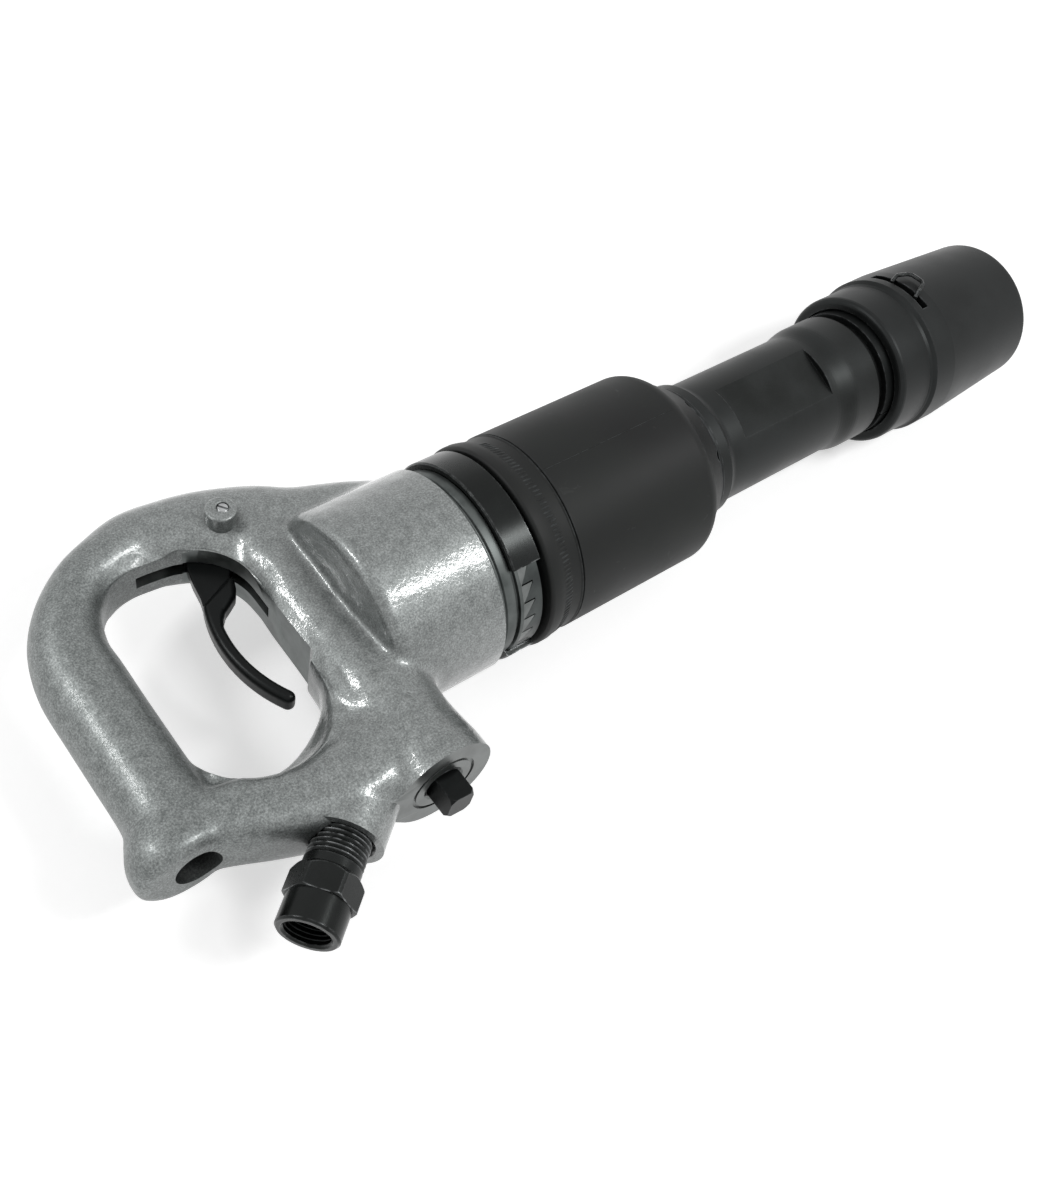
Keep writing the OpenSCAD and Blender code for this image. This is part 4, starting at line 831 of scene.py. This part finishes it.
class HAMMER_OT_rim(bpy.types.Operator):
    """Makes the bare turned rim of the handle with its ratchet teeth"""
    bl_idname = "hammer.rim"
    bl_label = "Toothed rim"

    def execute(self, context):
        count, phase, inner, outer = 32, math.radians(-4.1), 36.3, 41.5
        outline = [(33.1, X_PAINT - 0.2), (40.2, X_PAINT - 0.2), (40.2, X_PAINT + 2.0),
                   (41, X_PAINT + 2.6), (41, X_ROOTS - 3.2), (39.7, X_ROOTS - 3.2),
                   (39.7, X_ROOTS - 1.6), (outer, X_ROOTS - 1.6), (outer, X_ROOTS),
                   (inner, X_ROOTS), (inner, X_ROOTS - 1.2), (33.1, X_ROOTS - 1.2)]
        rim = solid("handle_rim", *revolve_x(rounded(outline, 0.25, 2)))
        # One tooth: what the slope of a saw cut leaves standing between two cuts
        pitch = math.tau * inner / count
        n = 6
        vertices = []
        for k in range(n + 1):
            f = k / n
            a = phase - math.atan2(-pitch / 2 + pitch * f, inner)
            low, high = X_ROOTS - 0.1, X_ROOTS + 0.02 + (X_TIPS - X_ROOTS) * f
            vertices += [(x, -r * math.sin(a), r * math.cos(a)) for r, x in (
                (inner, low), (inner, high), (outer, high), (outer, low))]
        tooth = solid("tooth", vertices, tube(n + 1, 4))
        teeth = grown(tooth, repeat_tree(), "handle_teeth", Count=count,
                      Turn=(math.tau / count, 0.0, 0.0), Finish=material("milled"))
        dress(rim, "tool", ("rim",), "handle_paint", 32)
        dress(teeth, "tool", ("milled",), "handle_paint", 32)
        return {"FINISHED"}


class HAMMER_OT_trigger(bpy.types.Operator):
    """Makes the cast finger lever, smooth from its root to its tip, and its slotted pin"""
    bl_idname = "hammer.trigger"
    bl_label = "Trigger and pin"

    def execute(self, context):
        h = LEVER_HALF
        layers = [prism(inset(LEVER_FACE, 0.3), -h, h), rod((*PIN, -h), (*PIN, h), 8.5),
                  rod((X_VALVE, PIN[1], -h), (X_VALVE, PIN[1], h), 6.5)]
        for inwards, height in ((0.0, 2.6), (0.35, 3.5), (1.0, 4.2), (1.9, 4.55)):
            layers.append(prism(inset(lever_outline(), inwards), -height, height))
        lever = fused("trigger_lever", layers, 0.36, 4, (2, 2))
        carve(lever, [rod((*PIN, -6), (*PIN, 6), 2.6, n=40)])
        dress(lever, "trigger", ("oxide_cast",), "black_oxide", 50, "trigger")
        # Solid pin, slotted for a driver at both ends
        end, corner, r = 21.4, 0.4, 2.42
        outline = [(AXIS, -end), (2.0, -end), (r, corner - end), (r, end - corner), (2.0, end),
                   (AXIS, end)]
        pin = solid("trigger_pin_slotted", *turned_z(outline, PIN, 1, 48))
        turn = Matrix.Rotation(math.radians(-52), 3, "Z")
        for low, high in ((20.4, 24), (-24, -20.4)):
            vertices, faces = block((-4, -0.45, low), (4, 0.45, high))
            carve(pin, [([turn @ Vector(v) + Vector((*PIN, 0)) for v in vertices], faces)])
        dress(pin, "tool", ("ground",), "bright_steel", 36, "trigger_pin")
        return {"FINISHED"}


class HAMMER_OT_deflector(bpy.types.Operator):
    """Makes the moulded rubber deflector with its rear band, its ribs and its mould line"""
    bl_idname = "hammer.deflector"
    bl_label = "Exhaust deflector"

    def execute(self, context):
        body, slot = "deflector", "deflector_rubber"
        skin, roll, rear_bore, front_bore, nose, chamber = 43.75, 44.65, 34.08, 31.28, 32.5, 38.5
        rear, line, wall = X_DEFL_REAR, X_DEFL_REAR + 17.1, X_DEFL - 10.8
        outline = [
            (rear_bore, rear), (roll - 1.6, rear), *arc(roll - 1.6, rear + 1.6, 1.6, -90, 0, 6),
            (roll, rear + 4.6), (roll - 0.4, rear + 6.6), (skin, rear + 8.6),
            (skin - 0.35, rear + 10.4), (skin - 0.5, rear + 12), (skin - 0.45, line - 1.2),
            (skin - 0.1, line - 0.7), (skin, line - 0.4), (skin - 0.7, line - 0.15),
            (skin - 0.7, line + 0.1), (skin, line + 0.4),
            *arc(skin - 8, X_DEFL - 17.8, 8, 0, 55, 12),
            (nose + 1.6, X_DEFL - 1.6), (nose + 0.7, X_DEFL - 0.4), (nose, X_DEFL),
            (front_bore, X_DEFL), (front_bore, wall), (chamber - 3, wall), (chamber, wall - 3.2),
            (chamber, line + 3), (rear_bore, line)]
        sleeve = solid("deflector_sleeve", *revolve_x(outline, 192))
        carve(sleeve, [rod((wall - 4.2, y, z), (X_DEFL + 2, y, z), 3, n=24)
                       for y, z in arc(0, 0, 31.5, 90, 405, 7)])
        dress(sleeve, body, ("rubber",), slot, 28, "exhaust_deflector")

        # Gripping ribs across the band behind the line, 1.9 mm apart on the round
        n, m, half, wide, rise = 10, 6, 2.6, 0.48, 0.42
        vertices = []
        for i in range(n + 1):
            t = -1 + 2 * i / n
            swell = math.sqrt(max(1 - t * t, 0.0009))
            for j in range(m):
                a = math.tau * j / m
                vertices.append((line - 8 + half * t, wide * swell * math.cos(a),
                                 skin - 0.15 - 0.45 * t + rise * swell * math.sin(a)))
        start = Matrix.Rotation(math.radians(-30), 3, "X")
        rib = solid("rib", [start @ Vector(v) for v in vertices], tube(n + 1, m))
        ribs = grown(rib, repeat_tree(), "deflector_ribs", Count=58,
                     Turn=(1.9 / skin, 0.0, 0.0), Finish=material("rubber"))
        dress(ribs, body, ("rubber",), slot, 60)

        # Mould line along the sleeve
        a = math.radians(96.5)
        vertices = []
        for x in (line + 1.2, X_DEFL - 18.2):
            for across, rise in ((-0.22, -0.1), (0, 0.12), (0.22, -0.1), (0, -0.3)):
                b = a + across / skin
                vertices.append((x, (skin + rise) * math.cos(b), (skin + rise) * math.sin(b)))
        dress(solid("deflector_mould_line", vertices, tube(2, 4)), body, ("rubber",), slot, 32)
        return {"FINISHED"}


class HAMMER_OT_threads(bpy.types.Operator):
    """Winds the screw threads in the inlet fitting and round the throttle plug"""
    bl_idname = "hammer.threads"
    bl_label = "Threads"

    def execute(self, context):
        tree = thread_tree()
        seat = Matrix.Rotation(math.radians(INLET_ANGLE + 180), 4, "Z") @ Matrix.Rotation(
            math.radians(90), 4, "Y")
        # Turns, radius, pitch and ridge in mm, where the thread starts and how it stands
        for name, turns, radius, pitch, ridge, start, stand in (
                ("inlet_fitting_thread", 6.5, 8.66, 1.81, 0.42, on_inlet(0.9), seat),
                ("throttle_plug_thread", 2.2, 7.42, 0.9, 0.22, (X_VALVE, MACHINED_FACE + 0.25, 0),
                 Matrix.Rotation(math.radians(-90), 4, "X"))):
            seed = solid(name, *block((-1, -1, -1), (1, 1, 1)))
            thread = grown(seed, tree, name, Turns=turns, Radius=radius * MM,
                           Length=turns * pitch * MM, Ridge=ridge * MM,
                           Finish=material("oxide_cast"))
            thread.data.transform(Matrix.Translation(Vector(start) * MM) @ stand)
            dress(thread, "tool", ("oxide_cast",), "black_oxide", 70)
        return {"FINISHED"}


# ---------------------------------------------------------------- stage
WHITE = (1, 1, 1, 1)
FLOOR_HALF = 4.0
# Light that the floor adds where it is seen, so that it shows as white as the room, and the
# room's own light on the tool
FLOOR_GLOW = 0.52
ROOM_LIGHT = 0.31
# Two softboxes, placed where the two sets of highlights on the enamel mirror them: the point
# each faces, its turn and rise in degrees, and its two sides, in m
SOFTBOXES = [("softbox_front", (-0.32, -0.02, 0.04), -49, 49, (0.55, 0.24)),
             ("softbox_rear", (-0.39, 0.0, 0.02), 144, 43, (0.25, 0.25))]
SOFTBOX_AWAY = 1.3
# The camera's turn, rise and roll in degrees, and where a point on the tool's axis lies from
# it, along its own axes. CAMERA_X is that point's X, and CAMERA_MM turns both into mm
CAMERA_TURN = (-50.0088, 51.8024, 15.3872)
CAMERA_OFFSET = (-48.2176, 0.8549, -476.107)
CAMERA_X = -290
CAMERA_MM = 1.122


def sees_backdrop(tree):
    """1 for what the camera sees straight, in metal or through glass."""
    ray = add(tree, "ShaderNodeLightPath").outputs
    first = add(tree, "ShaderNodeMath", (ray["Is Camera Ray"], ray["Is Glossy Ray"]),
                operation="MAXIMUM")
    return add(tree, "ShaderNodeMath", (first, ray["Is Transmission Ray"]), operation="MAXIMUM")


def turned_to(place, *axes):
    """A place in m with three axes, as a matrix."""
    return Matrix.Translation(place) @ Matrix(axes).transposed().to_4x4()


class HAMMER_OT_stage(bpy.types.Operator):
    """Sets the floor, the soft lights and the camera"""
    bl_idname = "hammer.stage"
    bl_label = "Stage"

    def execute(self, context):
        scene = context.scene
        props = scene.hammer_stage
        low, size = min(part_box(n)[0][2] for n in NODES), FLOOR_HALF
        mesh = bpy.data.meshes.new("floor")
        mesh.from_pydata([(-size, -size, low), (size, -size, low), (size, size, low),
                          (-size, size, low)], [], [(0, 1, 2, 3)])
        paper, tree, where = new_material("matt_white_paper")
        # Matt paper: its fibres, drawn 3.3 mm coarse, keep the white from looking flat
        grain = add(tree, "ShaderNodeTexNoise", {"Vector": where, "Scale": 300.0})
        tone = add(tree, "ShaderNodeValToRGB", (grain,), [(0.0, "#f4f4f4"), (1.0, "#fafafa")])
        matt = add(tree, "ShaderNodeBsdfDiffuse", {"Color": tone})
        glow = add(tree, "ShaderNodeEmission", {"Color": WHITE, "Strength": FLOOR_GLOW})
        both = add(tree, "ShaderNodeAddShader", (matt, glow))
        seen = add(tree, "ShaderNodeMixShader", (sees_backdrop(tree), matt, both))
        add(tree, "ShaderNodeOutputMaterial", (seen,))
        mesh.materials.append(paper)
        placed("floor", mesh)

        world = bpy.data.worlds.new("studio")
        scene.world = world
        world.use_nodes = True
        tree = world.node_tree
        tree.nodes.clear()
        room = add(tree, "ShaderNodeBackground", {"Color": WHITE, "Strength": ROOM_LIGHT})
        white = add(tree, "ShaderNodeBackground", {"Color": WHITE, "Strength": 1.0})
        seen = add(tree, "ShaderNodeMixShader", (sees_backdrop(tree), room, white))
        add(tree, "ShaderNodeOutputWorld", (seen,))

        x = Vector((1, 0, 0))
        for (name, target, turn_deg, rise_deg, size), power in zip(
                SOFTBOXES, (props.front, props.rear)):
            a, b = math.radians(turn_deg), math.radians(rise_deg)
            way = Vector((math.cos(b) * math.cos(a), math.cos(b) * math.sin(a), math.sin(b)))
            lamp = bpy.data.lights.new(name, "AREA")
            lamp.shape = "RECTANGLE"
            lamp.size, lamp.size_y, lamp.energy = *size, power
            along = (x - x.dot(way) * way).normalized()
            placed(name, lamp).matrix_world = turned_to(
                Vector(target) + way * SOFTBOX_AWAY, along, way.cross(along), way)

        az, el, roll = (math.radians(a) for a in CAMERA_TURN)
        back = Vector((math.sin(az) * math.cos(el), -math.cos(az) * math.cos(el), math.sin(el)))
        right = Vector((math.cos(az), math.sin(az), 0))
        up = back.cross(right)
        axes = (right * math.cos(roll) + up * math.sin(roll),
                up * math.cos(roll) - right * math.sin(roll), back)
        eye = Vector((CAMERA_X, 0, 0))
        for axis, distance in zip(axes, CAMERA_OFFSET):
            eye -= axis * distance
        lens = bpy.data.cameras.new("camera")
        lens.lens, lens.sensor_width, lens.sensor_fit = props.lens, 36, "AUTO"
        lens.clip_start, lens.clip_end = 0.01, 20
        scene.camera = placed("camera", lens)
        scene.camera.matrix_world = turned_to(eye * CAMERA_MM * MM, *axes)
        scene.view_settings.view_transform = "Standard"
        return {"FINISHED"}


class HAMMER_PT_panel(bpy.types.Panel):
    bl_label = "Hammer"
    bl_idname = "HAMMER_PT_panel"
    bl_space_type = "VIEW_3D"
    bl_region_type = "UI"
    bl_category = "Hammer"

    def draw(self, context):
        layout = self.layout
        for step in STEPS:
            layout.operator(step.bl_idname)
        for name, group in GROUPS.items():
            box = layout.box()
            for value in group.__annotations__:
                box.prop(getattr(context.scene, name), value)


STEPS = [HAMMER_OT_stage, HAMMER_OT_finishes, HAMMER_OT_casting, HAMMER_OT_rim, HAMMER_OT_trigger,
         HAMMER_OT_deflector, HAMMER_OT_threads]
CLASSES = [*GROUPS.values(), *STEPS, HAMMER_PT_panel]


def register():
    for cls in CLASSES:
        bpy.utils.register_class(cls)
    for name, group in GROUPS.items():
        setattr(bpy.types.Scene, name, PointerProperty(type=group))


def unregister():
    for name in GROUPS:
        delattr(bpy.types.Scene, name)
    for cls in reversed(CLASSES):
        bpy.utils.unregister_class(cls)


def main():
    register()
    for step in STEPS:
        group, name = step.bl_idname.split(".")
        getattr(getattr(bpy.ops, group), name)()


if __name__ == "__main__":
    main()
